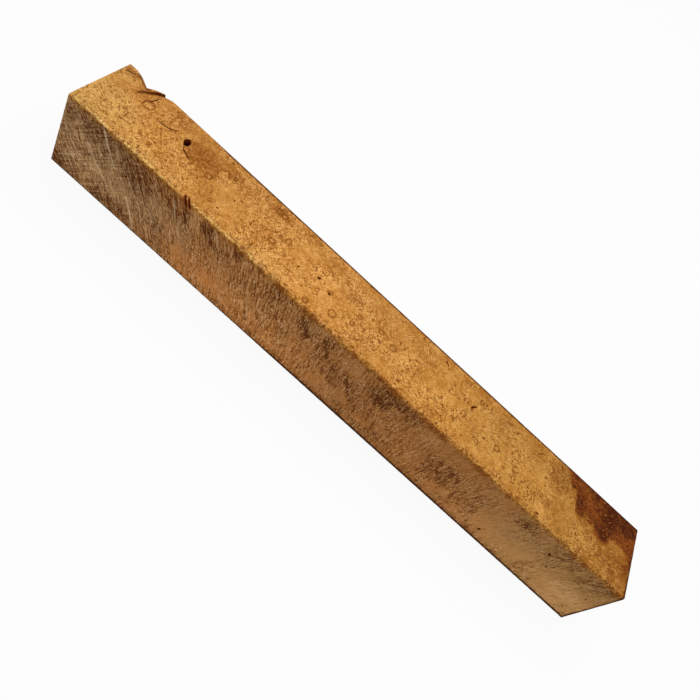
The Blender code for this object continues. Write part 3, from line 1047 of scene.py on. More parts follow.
class Zones:
    """Where the photo shows each stain, dark patch and the heartwood, listed one by one.

    Places on the top face are (along, in from the back arris), and on the front face (along,
    down from the top), both in millimetres from the left end. Lines are (along, strength).
    """

    HEART_EDGE = [
        (259, -2.8), (261.7, 1.5), (263.7, 5.5), (266.9, 9.5), (269, 13.5), (269.8, 18),
        (272.6, 19.6), (274.8, 16.4), (279.9, 15.8), (282.2, 19.2), (285.5, 21.6), (288.5, 19.4),
        (291.3, 16), (297.8, 16.6), (301, 19), (305, 21.5)]
    STAINS = patches(
        (50, 13.2, 14, 10, 1.15), (47.5, 15.2, 7, 6, 1.3), (57, 17.7, 6, 5.5, 1),
        (60, 8.2, 18, 5, 0.75), (83, 3.7, 24, 5, 0.5), (89, 5.7, 7, 4.5, 1),
        (28, 10.2, 11, 6, 0.5), (3, 4.7, 6, 3, 0.9), (15, 7.2, 7, 6, 0.6), (252, 27.2, 9, 4, 0.8),
        (118, 7.2, 14, 7, 0.5), (138, 14.4, 6, 4, 0.8), (297, 27.2, 16, 13, 0.75),
        (281, 21.2, 13, 8, 0.7), (105, 4.2, 14, 5, 0.5), (156, 26.2, 12, 7, 0.35),
        (246, 10.2, 9, 8, 0.4), (98, 15.2, 10, 7, 0.4), (127, 21.2, 2.2, 2.2, 1.2),
        (289, 34.2, 16, 5, 0.3), (31.5, 4.5, 9, 6.5, 0.8), (46, 4.5, 8, 6, 0.5),
        (222, 10, 8, 11, 0.5), (257, 9, 10, 13, 0.78), (82, 14, 7, 6, 0.45),
        (133, 14, 6.5, 6, 0.55), (44, 23.5, 7, 6, 0.45), (19, 24, 7, 6, 0.4),
        (260, 23.5, 7, 6, 0.5), (107, 23, 6, 5, 0.35))
    OLIVE = patches(
        (4, 28.2, 26, 17, 1), (32, 35.2, 16, 6, 0.6), (240, 21.2, 60, 24, 0.35),
        (95, 35.2, 20, 5, 0.4), (2, 6.2, 12, 10, 0.5))
    BUSY = patches(
        (10, 27, 24, 18, 0.9), (32, 23.2, 32, 20, 0.75), (92, 25.2, 16, 16, 1),
        (85, 9.2, 22, 9, 0.8), (110, 28.2, 8, 10, 0.6), (147, 28.2, 13, 11, 1),
        (139, 14.2, 6, 5, 0.6), (154, 14.2, 10, 9, 0.6), (176, 10.2, 12, 9, 0.5),
        (181, 29.2, 10, 9, 0.7), (199, 32.2, 8, 7, 0.6), (219, 21.2, 8, 6, 0.9),
        (213, 10.2, 9, 7, 0.6), (234, 15.2, 10, 9, 0.8), (250, 26.2, 9, 6, 0.9),
        (258, 10.2, 7, 8, 0.9), (288, 27.2, 15, 10, 0.9), (50, 14.2, 12, 7, 0.9),
        (282, 17.2, 14, 5, 1))
    CORE = patches(
        (288.5, 6, 6, 10, 1.1), (297.5, 4, 9, 5.5, 0.8), (277, 17.3, 5, 2.2, 0.75),
        (287, 18.2, 4, 2.6, 1.2), (283, 16.5, 6, 2.5, 0.3), (264, 9, 3, 3.5, 0.5),
        (270, 13, 3.5, 3.5, 0.7), (278, 3, 4, 3, 0.3))
    RUDDY = patches(
        (269, 5, 8, 6, 0.8), (278, 9, 5, 6, 0.6), (297.5, 13.3, 7.5, 4, 0.9),
        (303, 12, 2.5, 9, 0.5))
    DUSK = patches(
        (31, 3.3, 34, 12, 0.95), (38, 5.3, 14, 12, 1), (31, 34.3, 14, 7, 0.85),
        (57.5, 7.3, 6, 10, 0.7), (63.5, 7.8, 3.6, 5.5, 1.1), (74, 4.9, 3.6, 4.6, 1.3),
        (79.5, 9.3, 4, 4, 0.7), (90.5, 2.3, 4, 4.5, 0.9), (111, 3.3, 5, 5, 0.6),
        (115, 8.3, 10, 7, 0.3), (131, 9.3, 6, 8, 0.65), (141, 9.3, 5, 7, 0.65),
        (155, 17.3, 13, 8, 0.8), (172.5, 9.3, 8, 9, 1.15), (183, 4.8, 13, 5, 0.9),
        (182, 30.3, 6, 5, 0.8), (170, 22.3, 12, 8, 0.5), (214, 19, 14, 11, 0.72),
        (228, 20, 8, 12, 0.62), (236, 24.3, 6, 9, 0.7), (254, 7.3, 11, 6, 0.75),
        (272, 30.3, 7, 8, 0.5), (285, 6.3, 22, 8, 0.5), (299, 2.8, 8, 4, 0.8), (0, 36, 16, 9, 1),
        (57, 33.5, 9, 7, 0.6), (120, 36.3, 60, 3.5, 0.5), (240, 36.3, 60, 3, 0.5),
        (3, 1.3, 10, 4, 0.35))
    GLOW = patches(
        (24, 20.3, 16, 9, 0.25), (66.8, 5.3, 3, 7, 1), (94, 4.3, 1.8, 5, 0.9),
        (135.6, 3.3, 3, 3, 0.6), (154, 7.3, 5, 5, 0.6), (155, 29.3, 10, 7, 0.4),
        (199, 8.3, 6, 6, 0.5), (293, 23.3, 12, 7, 0.7), (292, 34, 11, 5, 0.6))
    CALM = patches(
        (30, 22, 10, 8, 0.9), (13, 15, 8, 5, 0.5), (70, 29, 9, 8, 0.9), (90, 27, 13, 9, 1),
        (67, 5.5, 3.5, 7, 1), (94, 4, 2.5, 5, 1), (116, 32, 12, 6, 0.8), (133.5, 24, 9, 6, 0.8),
        (154, 8, 7, 8, 0.9), (153, 29, 13, 8, 1), (136, 3, 3, 4, 0.8), (176, 27, 8, 7, 0.7),
        (199, 8, 6, 7, 0.9), (211, 5, 14, 6, 0.8), (236, 5, 12, 6, 0.7), (255, 22, 22, 14, 1),
        (291, 24, 18, 12, 1), (283, 8, 10, 8, 0.6))
    TORN = patches(
        (92, 4, 42, 12, 1), (112, 24, 26, 18, 0.8), (168, 4, 22, 9, 0.6), (280, 6, 30, 12, 0.5))
    EMBERS = [
        (60.5, 3.5), (89, 4.5), (101, 2), (111, 5.5), (127, 6.5), (151, 2.5), (166, 4.5),
        (173, 6.5), (192, 6), (199.5, 5), (222.5, 6), (238.4, 2), (276.6, 2.2), (282.9, 1.8),
        (302, 2.2)]
    SPILL = [
        (0, 0.6), (10, 0.1), (20, 0.4), (30, 0.1), (50, 0.3), (66, 0.7), (74, 1.2), (80, 0.5),
        (88, 0.1), (94, 0.3), (100, 0.8), (110, 0.1), (117, 0.4), (127, 0.1), (134, 0.9),
        (146, 0.2), (163, 0.5), (170, 0.1), (178, 0.4), (190, 0.7), (198, 0.1), (205, 0.5),
        (215, 1), (222, 0.1), (229, 1.3), (238, 0.2), (250, 0.7), (262, 1), (272, 1.1),
        (278, 2.1), (285, 0.6), (292, 0.8), (299, 0.3), (305, 0.5)]
    # How strong the painted highlight along the worn front arris is.
    ARRIS_HIGHLIGHT = [
        (0, 0.75), (25, 1), (45, 1), (52, 0.6), (80, 0.6), (102, 0.6), (112, 0.1), (305, 0)]
    WARM = [
        (0, 0), (45, 0.2), (70, 0.55), (90, 0.9), (130, 1), (200, 0.85), (240, 0.65), (270, 0.3),
        (305, 0.2)]
    ROUGH = [
        (0, 1.95), (110, 1.6), (180, 1.5), (220, 1.1), (250, 1), (305, 0.9)]
    TAN = [
        (60, 0), (100, 0.2), (190, 0.1), (240, 0.45), (270, 0.85), (305, 1)]
    TOP_LIGHT = [
        (0, 1.06), (30, 1.1), (60, 1.03), (120, 1.17), (150, 1.05), (195, 1.03), (215, 0.95),
        (250, 0.94), (260, 0.84), (285, 0.77), (305, 0.73)]
    FRONT_LIGHT = [
        (0, 0.02), (20, 0.28), (50, 0.2), (70, 0.5), (120, 0.55), (140, 0.34), (160, 0.1),
        (200, 0.2), (230, 0.38), (305, 0.46)]
    FAINT_CRACK = ((24, 31), (8, 16))
    CHIP_EDGE = [
        (4, 0.7), (6, 1.85), (8, 2.95), (10, 4.15), (12.3, 5.2)]

    def __init__(self, low: Vector, high: Vector) -> None:
        """Remember the billet's box."""
        self.low = low
        self.high = high
        self.width = (high.y - low.y) / MM

    def spot(self, point: Vector) -> Spot:
        """A point of the billet, as millimetres from its left, its back and its top."""
        along = (point.x - self.low.x) / MM - LEFT_BACKSET_MM
        return Spot(along, (self.high.y - point.y) / MM, (self.high.z - point.z) / MM)

    def layers(self) -> dict[str, Callable[[Spot], float]]:
        """How to find the strength of each zone.

        Returns:
            For each name that the materials use, the strength as a function of the place.
        """
        layers = {"heartwood": self.heartwood, "ember": self.ember, "warm": self.warm,
                  "torn": self.torn, "light": self.light, "scorch": self.scorch,
                  "tear": self.tear, "dusk": self.dusk, "glow": self.glow, "bark_and_depth_shade": self.bark_and_depth_shade}
        for name, line in (("spill", self.SPILL), ("rim", self.ARRIS_HIGHLIGHT), ("rough", self.ROUGH),
                           ("tan", self.TAN)):
            layers[name] = partial(self.on_line, line)
        for name, spots in (("olive", self.OLIVE), ("core", self.CORE), ("ruddy", self.RUDDY)):
            layers[name] = partial(self.from_top, spots)
        for name, spots in (("stain", self.STAINS), ("busy", self.BUSY)):
            layers[name] = partial(self.on_top, spots)
        layers["calm"] = partial(self.on_front, self.CALM)
        return layers

    def strongest(self, spots: list[Patch], along: float, down: float) -> float:
        """The strength of the strongest patch at a place on a face."""
        return max(patch.at(along, down) for patch in spots)

    def on_line(self, line: list[tuple[float, float]], spot: Spot) -> float:
        """A strength that depends on the place along the billet only."""
        return along_line(line, spot.along)

    def from_top(self, spots: list[Patch], spot: Spot) -> float:
        """The strength of patches that lie on the top face and run down through the wood."""
        return self.strongest(spots, spot.along, spot.inset)

    def on_top(self, spots: list[Patch], spot: Spot) -> float:
        """The strength of patches that lie on the top face and fade below it."""
        return self.from_top(spots, spot) * smooth_step(spot.down, 4.0, 1.0)

    def on_front(self, spots: list[Patch], spot: Spot) -> float:
        """The strength of patches that lie on the front face."""
        return self.strongest(spots, spot.along, spot.down)

    def heartwood(self, spot: Spot) -> float:
        """How deep a place lies in the heartwood, which dips towards the back and the right.

        Args:
            spot: the place.

        Returns:
            The depth, of which about 0.6 is the heartwood's edge.
        """
        edge = along_line(self.HEART_EDGE, spot.along) - 0.12 * spot.down
        body = 0.58 + (edge - spot.inset) / 6.5
        rim = smooth_step(EDGE_LENGTH_MM - spot.along, 9.0, 1.0) * 0.60
        rim *= smooth_step(spot.inset, 38.0, 20.0) * smooth_step(spot.down, 6.0, 0.5)
        return min(max(body, rim, 0.0), 1.25)

    def ember(self, spot: Spot) -> float:
        """How scorched a place by the worn arris is.

        Args:
            spot: the place.

        Returns:
            The strength, from 0 to 1.
        """
        off = math.hypot(max(spot.down - 0.8, 0.0) / 3.8, (self.width - spot.inset) / 1.5)
        if off > 1.0:
            return 0.0
        burnt = max(smooth_step(abs(spot.along - middle) / half, 1.0, 0.3)
                    for middle, half in self.EMBERS)
        return burnt * smooth_step(off, 1.0, 0.2)

    def warm(self, spot: Spot) -> float:
        """How orange a place on the sides is, which is more low down.

        Args:
            spot: the place.

        Returns:
            The strength.
        """
        high = 0.45 * smooth_step(spot.down, 13.0, 5.0) * smooth_step(spot.along, 15.0, 45.0)
        low = 0.35 * smooth_step(spot.down, 22.0, 37.0)
        return along_line(self.WARM, spot.along) + high + low

    def lean(self, along: float) -> float:
        """How far the grain leans along the billet for each millimetre down, to the right."""
        left = 0.85 * smooth_step(along, 157.0, 2.0)
        return left - 0.35 * smooth_step(along, 152.0, 302.0) + 0.06

    def torn(self, spot: Spot) -> float:
        """How torn the front face is, which is most just under the worn arris."""
        return max(self.on_front(self.TORN, spot), 0.15)

    def light(self, spot: Spot) -> float:
        """How bright the wood is, on the top face and down the front one.

        Args:
            spot: the place.

        Returns:
            The brightness, of which 1 is plain.
        """
        along, inset, down = spot
        if down < 1.0:
            far = 0.09 + 0.05 * smooth_step(along, 205.0, 250.0)
            return along_line(self.TOP_LIGHT, along) - far * smooth_step(inset, 22.0, 5.0)
        rise = along_line(self.FRONT_LIGHT, along) * smooth_step(down, 10.0, 34.0)
        left = 0.10 * smooth_step(along, 170.0, 60.0) + 0.08 * smooth_step(along, 26.0, 12.0)
        return 1.0 + left - 0.08 * smooth_step(down, 14.0, 2.0) + rise

    def tear(self, spot: Spot) -> float:
        """How near a place on the front face is to a dark tear.

        Args:
            spot: the place.

        Returns:
            The strength of the tear there.
        """
        margin = 3.0
        strongest = 0.0
        if spot.inset < self.width - 1.5:
            return strongest
        for tear in TEARS:
            if tear.along - margin < spot.along < tear.end_along + margin:
                gap = tear.gap(spot.along, spot.down)
                fall = smooth_step(gap, 0.8 + tear.half_width, 0.6 * tear.half_width)
                strongest = max(strongest, tear.strength * fall)
        return strongest

    def dusk(self, spot: Spot) -> float:
        """How dark a place on the sides is, and the same turned about on the hidden back.

        Args:
            spot: the place.

        Returns:
            The strength.
        """
        hidden = spot.inset <= self.width / 2
        along = EDGE_LENGTH_MM - spot.along if hidden else spot.along
        return self.strongest(self.DUSK, along, spot.down)

    def glow(self, spot: Spot) -> float:
        """How pale and smooth a place on the sides is."""
        return self.on_front(self.GLOW, spot) * spot.inset / self.width

    def bark_and_depth_shade(self, spot: Spot) -> float:
        """How deep a place lies inside the wood, as a share of a few millimetres, which paints it
        rust to bark and darker with depth as painted shade.

        Args:
            spot: the place.

        Returns:
            The share, of which 1 is as dark as bark. The chip and a faint crack stay light.
        """
        along, inset, down = spot
        depth = min(down, inset, self.width - inset)
        if self.pocket_gap(spot) < POCKET_HALF_MM:
            tail = 0.65 * smooth_step(inset, 3.0, 8.5)
            return min(0.35 + down / 4.0, 1.0) * (1.0 - tail)
        (left, right), (back, front) = self.FAINT_CRACK
        if left < along < right and back < inset < front:
            return 0.12
        if along < CHIP_END_MM and inset < CHIP_BITE_MM:
            return min(max(depth / 30.0, 0.0), 0.15)
        return min(max(0.35 + depth / 4.0, 0.0), 1.0)

    def pocket_gap(self, spot: Spot) -> float:
        """How far a place lies across from the middle line of the bark pocket.

        Args:
            spot: the place.

        Returns:
            The gap in millimetres, or infinity past the pocket's ends.
        """
        left_over = 1 - (spot.along - POCKET_START_MM) / POCKET_RUN_MM
        if not -0.2 < left_over < 1.03:
            return math.inf
        left_over = max(left_over, 0.0)
        middle = POCKET_REACH_MM * left_over ** POCKET_CURVE
        slope = POCKET_CURVE * POCKET_REACH_MM / POCKET_RUN_MM * left_over ** (POCKET_CURVE - 1)
        return abs(spot.inset - middle) / math.hypot(1.0, slope)

    def scorch(self, spot: Spot) -> float:
        """How dark the wood is beside the bark pocket, and along the chip's rim.

        Args:
            spot: the place.

        Returns:
            The strength.
        """
        along, inset, down = spot
        beside = smooth_step(self.pocket_gap(spot), 2.2, 0.7) * smooth_step(down, 8.0, 3.0)
        inside = smooth_step(abs(along - 17.0), 4.0, 1.0) * smooth_step(inset, 2.4, 0.8)
        off_rim = inset - along_line(self.CHIP_EDGE, along)
        chipped = smooth_step(abs(along - 9.0), 5.5, 3.5) * smooth_step(off_rim, 2.0, 0.8)
        return max(0.8 * beside, 0.9 * inside, 1.2 * chipped)


@dataclass(frozen=True)
class Pit:
    """A small pit in the top or front face, in millimetres, turned by degrees from the length."""

    along: float
    inset: float
    length: float
    width: float
    turn: float = 0.0
    in_front: bool = False


SMALL_PITS = tuple(Pit(*row) for row in (
    (115.1, 25.4, 0.9, 0.6, 60), (116.1, 26.4, 0.8, 0.55, 40), (116.3, 29.7, 0.8, 0.7),
    (31.5, 36.6, 0.8, 0.5), (200, 11.7, 1, 0.6, 30), (187, 5.2, 1.1, 0.6, -50),
    (218.6, 36.5, 0.9, 0.5, 20), (212.9, 34.7, 0.8, 0.5), (245.6, 33.6, 1.1, 0.6, 30),
    (259.3, 32.4, 0.9, 0.6, 40), (131.4, 2.4, 0.8, 0.5, 20), (223, 16.6, 1.2, 0.5, 30),
    (232.1, 0, 1.4, 1), (271.4, 33.2, 1.2, 0.7, 60, True), (299.6, 16.7, 1.1, 0.6, -50, True),
    (239.9, 32.2, 1, 0.6, 70, True), (236.9, 20, 1, 0.6, 30, True)))


@dataclass(frozen=True)
class Relief:
    """How far the saw and torn grain sink each face, in millimetres."""

    top: float = 0.05
    side_streaks: float = 0.16
    side_tears: float = 0.35
    saw_arc: float = 0.05
    end_fuzz: float = 0.10
    plain_tear: float = 0.2

    def top_depth(self, place: Vector) -> float:
        """The depth of the top face's fine waviness and small tears.

        Args:
            place: the place in millimetres.

        Returns:
            The depth in millimetres.
        """
        waves = 0.5 + 0.5 * noise.noise(place * 0.35)
        tears = max(noise.noise(place * 1.1 + Vector((7.0, 3.0, 1.0))) - 0.28, 0.0)
        return self.top * (0.5 * waves + 1.6 * tears)

    def side_depth(self, place: Vector, lean: float, tear: float) -> float:
        """The depth of a long side's streaks, which follow the grain, and of its torn places.

        Args:
            place: the place in millimetres, with z counted down from the top as a minus.
            lean: how far the grain leans along the billet for each millimetre down.
            tear: how torn the face is there, from 0 to 1.

        Returns:
            The depth in millimetres.
        """
        across = Vector((place.x + lean * place.z, place.y, place.z * 0.16))
        streaks = noise.noise(across * 0.85) + 0.5 * noise.noise(across * 1.9)
        torn = max(noise.noise(across * 0.62 + Vector((31.0, 0.0, 5.0))) - 0.05, 0.0)
        return self.side_streaks * (0.5 + 0.4 * streaks) + self.side_tears * torn * tear * 2.0

    def end_depth(self, place: Vector) -> float:
        """The depth of the sawn end's arcs and fuzz.

        Args:
            place: the place in millimetres.

        Returns:
            The depth in millimetres.
        """
        reach = math.hypot(place.y - 40.0, place.z - 150.0)
        arcs = 0.5 + 0.5 * math.sin(reach * math.tau / 1.7 + noise.noise(place * 0.1))
        return self.saw_arc * arcs + self.end_fuzz * max(noise.noise(place * 0.9), 0.0)


@dataclass(frozen=True)
class Billet:
    """The squared billet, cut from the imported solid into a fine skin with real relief."""

    low: Vector
    high: Vector
    coarse_mm: float = 1.2
    end_reach_mm: float = 3.52
    face_reach_mm: float = 0.12
    arris_reach_mm: float = 1.7
    square: float = 0.97
    flat_angle: float = math.radians(0.6)
    sharp_angle: float = math.radians(28)
    pit_depth_mm: float = 0.7
    corner_wear_mm: float = 0.7
    relief: Relief = Relief()
    name: str = "burl_billet"

    def build(self) -> bpy.types.Object:
        """Cut and carve the billet's mesh.

        Returns:
            The billet, without materials.
        """
        zones = Zones(self.low, self.high)
        piece = self.copied_solid()
        self.cut_pits(piece)
        work = bmesh.new()
        work.from_mesh(piece.data)
        bmesh.ops.dissolve_limit(work, angle_limit=self.flat_angle, verts=work.verts,
                                 edges=work.edges)
        self.tag_sides(work)
        self.cut_skin(work)
        self.mark_sharp(work)
        self.sink_faces(work, zones)
        self.settle_slots(work)
        work.to_mesh(piece.data)
        work.free()
        self.write_zones(piece.data, zones)
        return piece

    def copied_solid(self) -> bpy.types.Object:
        """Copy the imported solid's mesh into a new object.

        Returns:
            The object.
        """
        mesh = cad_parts[NODE].data.copy()
        mesh.name = self.name
        mesh.materials.clear()
        work = bmesh.new()
        work.from_mesh(mesh)
        bmesh.ops.remove_doubles(work, verts=work.verts, dist=1e-6)
        work.to_mesh(mesh)
        work.free()
        piece = bpy.data.objects.new(self.name, mesh)
        bpy.context.scene.collection.objects.link(piece)
        return piece

    def cut_pits(self, piece: bpy.types.Object) -> None:
        """Cut the small pits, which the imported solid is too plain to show.

        Args:
            piece: the billet.
        """
        work = bmesh.new()
        for pit in SMALL_PITS:
            along = Vector((self.low.x + (pit.along + LEFT_BACKSET_MM) * MM, 0.0, 0.0))
            turn = math.radians(pit.turn)
            if pit.in_front:
                place = along + Vector((0.0, self.low.y, self.high.z - pit.inset * MM))
                facing = Matrix.Rotation(math.radians(90), 4, "X")
            else:
                place = along + Vector((0.0, self.high.y - pit.inset * MM, self.high.z))
                facing = Matrix.Identity(4)
            size = Matrix.Diagonal((pit.length / 2 * MM, pit.width / 2 * MM,
                                    self.pit_depth_mm * MM, 1.0))
            at = Matrix.Translation(place) @ facing @ Matrix.Rotation(turn, 4, "Z") @ size
            bmesh.ops.create_icosphere(work, subdivisions=2, radius=1.0, matrix=at)
        mesh = bpy.data.meshes.new("pit_cutters")
        work.to_mesh(mesh)
        work.free()
        cutter = bpy.data.objects.new("pit_cutters", mesh)
        bpy.context.scene.collection.objects.link(cutter)
        cut = piece.modifiers.new("pits", "BOOLEAN")
        cut.object = cutter
        cut.solver = "EXACT"
        shown = piece.evaluated_get(bpy.context.evaluated_depsgraph_get())
        pitted = bpy.data.meshes.new_from_object(shown)
        piece.modifiers.clear()
        piece.data = pitted
        bpy.data.objects.remove(cutter)

    def tag_sides(self, work: bmesh.types.BMesh) -> None:
        """Tell each face which side of the billet it belongs to, by its material number."""
        for face in work.faces:
            face.material_index = self.side_of(face).value

    def side_of(self, face: bmesh.types.BMFace) -> Side:
        """The side of the billet that a face of the plain solid belongs to.

        Args:
            face: the face.

        Returns:
            The side.
        """
        middle = face.calc_center_median()
        facing = face.normal
        past, short = middle - self.low, self.high - middle
        ends = ((Side.LEFT, past.x, -facing.x), (Side.RIGHT, short.x, facing.x))
        for side, gap, share in ends:
            if gap < self.end_reach_mm * MM and share > 0.9:
                return side
        sides = ((Side.TOP, short.z, facing.z), (Side.FRONT, past.y, -facing.y),
                 (Side.BACK, short.y, facing.y), (Side.BOTTOM, past.z, -facing.z))
        for side, gap, share in sides:
            if gap < self.face_reach_mm * MM and share > self.square:
                return side
        return self.edge_or_hollow(face)

    def edge_or_hollow(self, face: bmesh.types.BMFace) -> Side:
        """Tell a worn arris from the wall of a hole, a crack or the chip.

        Args:
            face: the face, which is on no flat side.

        Returns:
            The arris, the chip or the hollow.
        """
        middle = face.calc_center_median()
        facing = face.normal
        reach = self.arris_reach_mm * MM
        past, short = middle - self.low, self.high - middle
        gaps = [short[axis] if facing[axis] > 0 else past[axis] for axis in range(3)]
        sharing = [gap for gap, part in zip(gaps, facing) if abs(part) > 0.05]
        worn = short.z + past.y
        if worn < reach and facing.z > -0.05 and facing.y < 0.05 and abs(facing.x) < 0.6:
            return Side.ARRIS
        if max(abs(part) for part in facing) < self.square and max(sharing) < reach:
            return Side.ARRIS
        along = past.x / MM - LEFT_BACKSET_MM
        in_chip = along < CHIP_END_MM + 1.0 and short.y / MM < CHIP_BITE_MM + 0.6
        return Side.CHIP if in_chip else Side.HOLLOW

    def cut_skin(self, work: bmesh.types.BMesh) -> None:
        """Cut the faces by a net of planes, finer where the photo looks.

        Args:
            work: the mesh.
        """
        plain = {Side.BACK.value, Side.BOTTOM.value}
        for axis in range(3):
            for fine in (False, True):
                faces = [face for face in work.faces if face.material_index != Side.HOLLOW.value
                         and not (fine and face.material_index in plain)]
                count = round((self.high[axis] - self.low[axis]) / (self.coarse_mm * MM))
                pitch = (self.high[axis] - self.low[axis]) / count
                start = 0.5 if fine else 1.0
                places = [self.low[axis] + pitch * (start + index)
                          for index in range(count - (not fine))]
                self.cut_between(work, faces, axis, places)

    def cut_between(self, work: bmesh.types.BMesh, faces: list[bmesh.types.BMFace], axis: int,
                    places: list[float]) -> None:
        """Cut faces at places along an axis: at the middle place first, then on each side.

        Args:
            work: the mesh.
            faces: the faces to cut.
            axis: the axis that the planes stand square to.
            places: where the planes stand, in order.
        """
        if not places:
            return
        half = len(places) // 2
        place = places[half]
        low_side, high_side, crossing = [], [], []
        for face in faces:
            reach = [vert.co[axis] for vert in face.verts]
            if min(reach) >= place - TOUCH:
                high_side.append(face)
            elif max(reach) <= place + TOUCH:
                low_side.append(face)
            else:
                crossing.append(face)
        if crossing:
            edges = {edge for face in crossing for edge in face.edges}
            verts = {vert for face in crossing for vert in face.verts}
            normal = Vector((0.0, 0.0, 0.0))
            normal[axis] = 1.0
            found = bmesh.ops.bisect_plane(work, geom=[*verts, *edges, *crossing], dist=TOUCH,
                                           plane_co=normal * place, plane_no=normal)
            for face in {item for item in found["geom"] if isinstance(item, bmesh.types.BMFace)}:
                middle = sum(vert.co[axis] for vert in face.verts) / len(face.verts)
                (high_side if middle > place else low_side).append(face)
        self.cut_between(work, low_side, axis, places[:half])
        self.cut_between(work, high_side, axis, places[half + 1:])

    def mark_sharp(self, work: bmesh.types.BMesh) -> None:
        """Shade smooth, with a crease wherever the plain shape turns sharply.

        Args:
            work: the mesh.
        """
        for face in work.faces:
            face.smooth = True
        for edge in work.edges:
            if len(edge.link_faces) == 2:
                edge.smooth = edge.calc_face_angle(0.0) < self.sharp_angle

    def sink_faces(self, work: bmesh.types.BMesh, zones: Zones) -> None:
        """Sink the skin by its relief, along the way that each place faces.

        Args:
            work: the mesh.
            zones: the listed zones.
        """
        moves = []
        for vert in work.verts:
            outward = Vector((0.0, 0.0, 0.0))
            for face in vert.link_faces:
                if face.material_index < Side.HOLLOW.value:
                    outward += face.normal
            if outward.length > 0.1:
                outward.normalize()
                moves.append((vert, outward, self.depth_at(vert.co, outward, zones)))
        for vert, outward, depth in moves:
            moved = vert.co - outward * (max(depth, 0.0) * MM)
            vert.co = [min(max(moved[axis], zones.low[axis]), zones.high[axis])
                       for axis in range(3)]
        for vert in work.verts:
            vert.co.y -= self.worn_corner(vert.co, zones) * MM

    def worn_corner(self, point: Vector, zones: Zones) -> float:
        """How far the back corner beside the chip is worn in.

        Args:
            point: the point.
            zones: the listed zones.

        Returns:
            The wear in millimetres.
        """
        along, inset, down = zones.spot(point)
        near = smooth_step(along, 7.5, 4.0) * smooth_step(down, 7.0, 1.0)
        return self.corner_wear_mm * near * min(max(1.0 - inset / 3.0, 0.0), 1.0)

    def depth_at(self, point: Vector, outward: Vector, zones: Zones) -> float:
        """How deep the relief is at a point of the skin, in millimetres.

        Args:
            point: the point.
            outward: the way that the skin faces there.
            zones: the listed zones.

        Returns:
            The depth, blended from those of the sides that the point faces.
        """
        spot = zones.spot(point)
        place = Vector((point.x / MM, point.y / MM, -spot.down))
        relief = self.relief
        top, side, end = outward.z ** 2, outward.y ** 2, outward.x ** 2
        depth = end * relief.end_depth(place)
        if outward.z > 0:
            depth += top * relief.top_depth(place)
        else:
            flat = Vector((place.x, 0.0, spot.inset))
            depth += top * relief.side_depth(flat, 0.0, relief.plain_tear / 2)
        torn = zones.torn(spot) if outward.y < 0 else relief.plain_tear
        return depth + side * relief.side_depth(place, zones.lean(spot.along), torn)

    def settle_slots(self, work: bmesh.types.BMesh) -> None:
        """Turn the side numbers into material slots."""
        for face in work.faces:
            face.material_index = Side(face.material_index).surface().value

    def write_zones(self, mesh: bpy.types.Mesh, zones: Zones) -> None:
        """Write the strength of each zone at each point of the skin.

        Args:
            mesh: the billet's mesh.
            zones: the hand-laid zones.
        """
        spots = [zones.spot(vert.co) for vert in mesh.vertices]
        for name, strength in zones.layers().items():
            layer = mesh.attributes.new(name, "FLOAT", "POINT")
            layer.data.foreach_set("value", [strength(spot) for spot in spots])

    def dress(self, piece: bpy.types.Object) -> None:
        """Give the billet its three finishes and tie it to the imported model.

        Args:
            piece: the billet.
        """
        palette = Palette()
        burl = BurlFigure((self.high.z - self.low.z) / MM)
        finishes = {Surface.LONG: LongFaceFinish(palette, burl),
                    Surface.END: EndFinish(palette, burl),
                    Surface.HOLLOW: HollowFinish(palette, burl)}
        for surface in Surface:
            piece.data.materials.append(finishes[surface].material())
        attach(piece, BODY)
        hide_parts(NODE)


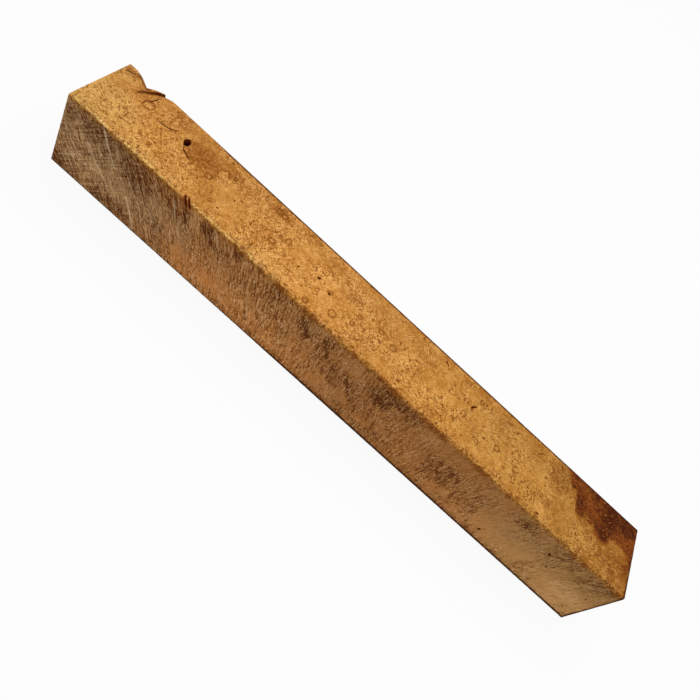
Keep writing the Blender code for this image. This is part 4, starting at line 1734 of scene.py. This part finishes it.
@dataclass(frozen=True)
class Studio:
    """A plain pale floor, soft light from above, and the camera of the photograph."""

    floor_width: float = 4.0
    floor_white: float = 0.80
    floor_lift: float = 0.92
    world_level: float = 0.32
    lamp_height: float = 1.3
    lamp_behind: float = 0.25
    lamp_tilt: float = math.radians(-11.0)
    lamp_size: float = 1.6
    lamp_power: float = 17.0
    lens: float = 35.98
    sensor: float = 36.0
    clip_start: float = 0.01
    aim: tuple[float, float, float] = (-0.002014, -0.001234, 0.018877)
    distance: float = 0.309011
    heading: float = math.radians(6.132)
    elevation: float = math.radians(46.673)
    roll: float = math.radians(46.79)

    def build(self) -> None:
        """Set the floor, the light and the camera."""
        self.set_floor()
        self.set_world()
        self.set_lamp()
        self.set_camera()

    def set_floor(self) -> None:
        """Lay a floor that looks white to the camera but keeps the billet's shadow."""
        low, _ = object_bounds()
        mesh = bpy.data.meshes.new("floor")
        work = bmesh.new()
        bmesh.ops.create_grid(work, x_segments=1, y_segments=1, size=self.floor_width / 2)
        bmesh.ops.translate(work, verts=work.verts, vec=Vector((0.0, 0.0, low.z)))
        work.to_mesh(mesh)
        work.free()
        floor = bpy.data.objects.new("floor", mesh)
        bpy.context.scene.collection.objects.link(floor)
        mesh.materials.append(self.floor_paint())
        floor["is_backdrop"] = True

    def floor_paint(self) -> bpy.types.Material:
        """Mix a matt white that is lifted towards pure white where the camera looks at it.

        Returns:
            The material.
        """
        paint = Paint("pale_floor")
        paint.surface((self.floor_white, self.floor_white, self.floor_white, 1.0), 1.0, 0.0)
        glow = paint.add("Emission")
        glow.inputs["Color"].default_value = WHITE
        blend = paint.add("MixShader")
        paint.feed(blend.inputs[0], paint.seen_directly() * self.floor_lift)
        paint.feed(blend.inputs[1], paint.shader.outputs[0])
        paint.feed(blend.inputs[2], glow.outputs[0])
        paint.feed(paint.tree.nodes["Material Output"].inputs["Surface"], blend.outputs[0])
        return paint.material

    def set_world(self) -> None:
        """Fill the room with even light, white where the camera sees past the floor."""
        world = bpy.data.worlds.new("studio")
        bpy.context.scene.world = world
        world.use_nodes = True
        graph = Graph(world.node_tree)
        room = graph.tree.nodes["Background"]
        white = graph.add("Background")
        for light, level in ((room, self.world_level), (white, 1.0)):
            light.inputs["Color"].default_value = WHITE
            light.inputs["Strength"].default_value = level
        blend = graph.add("MixShader")
        graph.feed(blend.inputs[0], graph.seen_directly())
        graph.feed(blend.inputs[1], room.outputs[0])
        graph.feed(blend.inputs[2], white.outputs[0])
        graph.feed(graph.tree.nodes["World Output"].inputs["Surface"], blend.outputs[0])

    def set_lamp(self) -> None:
        """Hang a wide soft lamp over the billet, a little behind it."""
        lamp = bpy.data.lights.new("softbox", "AREA")
        lamp.shape = "SQUARE"
        lamp.size = self.lamp_size
        lamp.energy = self.lamp_power
        holder = bpy.data.objects.new("softbox", lamp)
        holder.location = (0.0, self.lamp_behind, self.lamp_height)
        holder.rotation_euler = (self.lamp_tilt, 0.0, 0.0)
        bpy.context.scene.collection.objects.link(holder)

    def set_camera(self) -> None:
        """Stand the camera where the photograph was taken from."""
        level = math.cos(self.elevation)
        forward = Vector((math.sin(self.heading) * level, math.cos(self.heading) * level,
                          -math.sin(self.elevation)))
        level_right = forward.cross(Vector((0.0, 0.0, 1.0))).normalized()
        level_up = level_right.cross(forward)
        right = level_right * math.cos(self.roll) + level_up * math.sin(self.roll)
        up = right.cross(forward)
        turn = Matrix((right, up, -forward)).transposed().to_4x4()
        place = Vector(self.aim) - forward * self.distance
        lens = bpy.data.cameras.new("camera")
        lens.lens = self.lens
        lens.sensor_width = self.sensor
        lens.sensor_fit = "HORIZONTAL"
        lens.clip_start = self.clip_start
        camera = bpy.data.objects.new("camera", lens)
        camera.matrix_world = Matrix.Translation(place) @ turn
        bpy.context.scene.collection.objects.link(camera)
        bpy.context.scene.camera = camera


def main() -> None:
    """Build the billet and the studio."""
    logging.basicConfig(level=logging.INFO, format="%(name)s: %(message)s")
    bpy.context.scene.view_settings.view_transform = "Standard"
    billet = Billet(*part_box(NODE))
    piece = billet.build()
    billet.dress(piece)
    LOG.info("%s: %d faces", piece.name, len(piece.data.polygons))
    Studio().build()


if __name__ == "__main__":
    main()
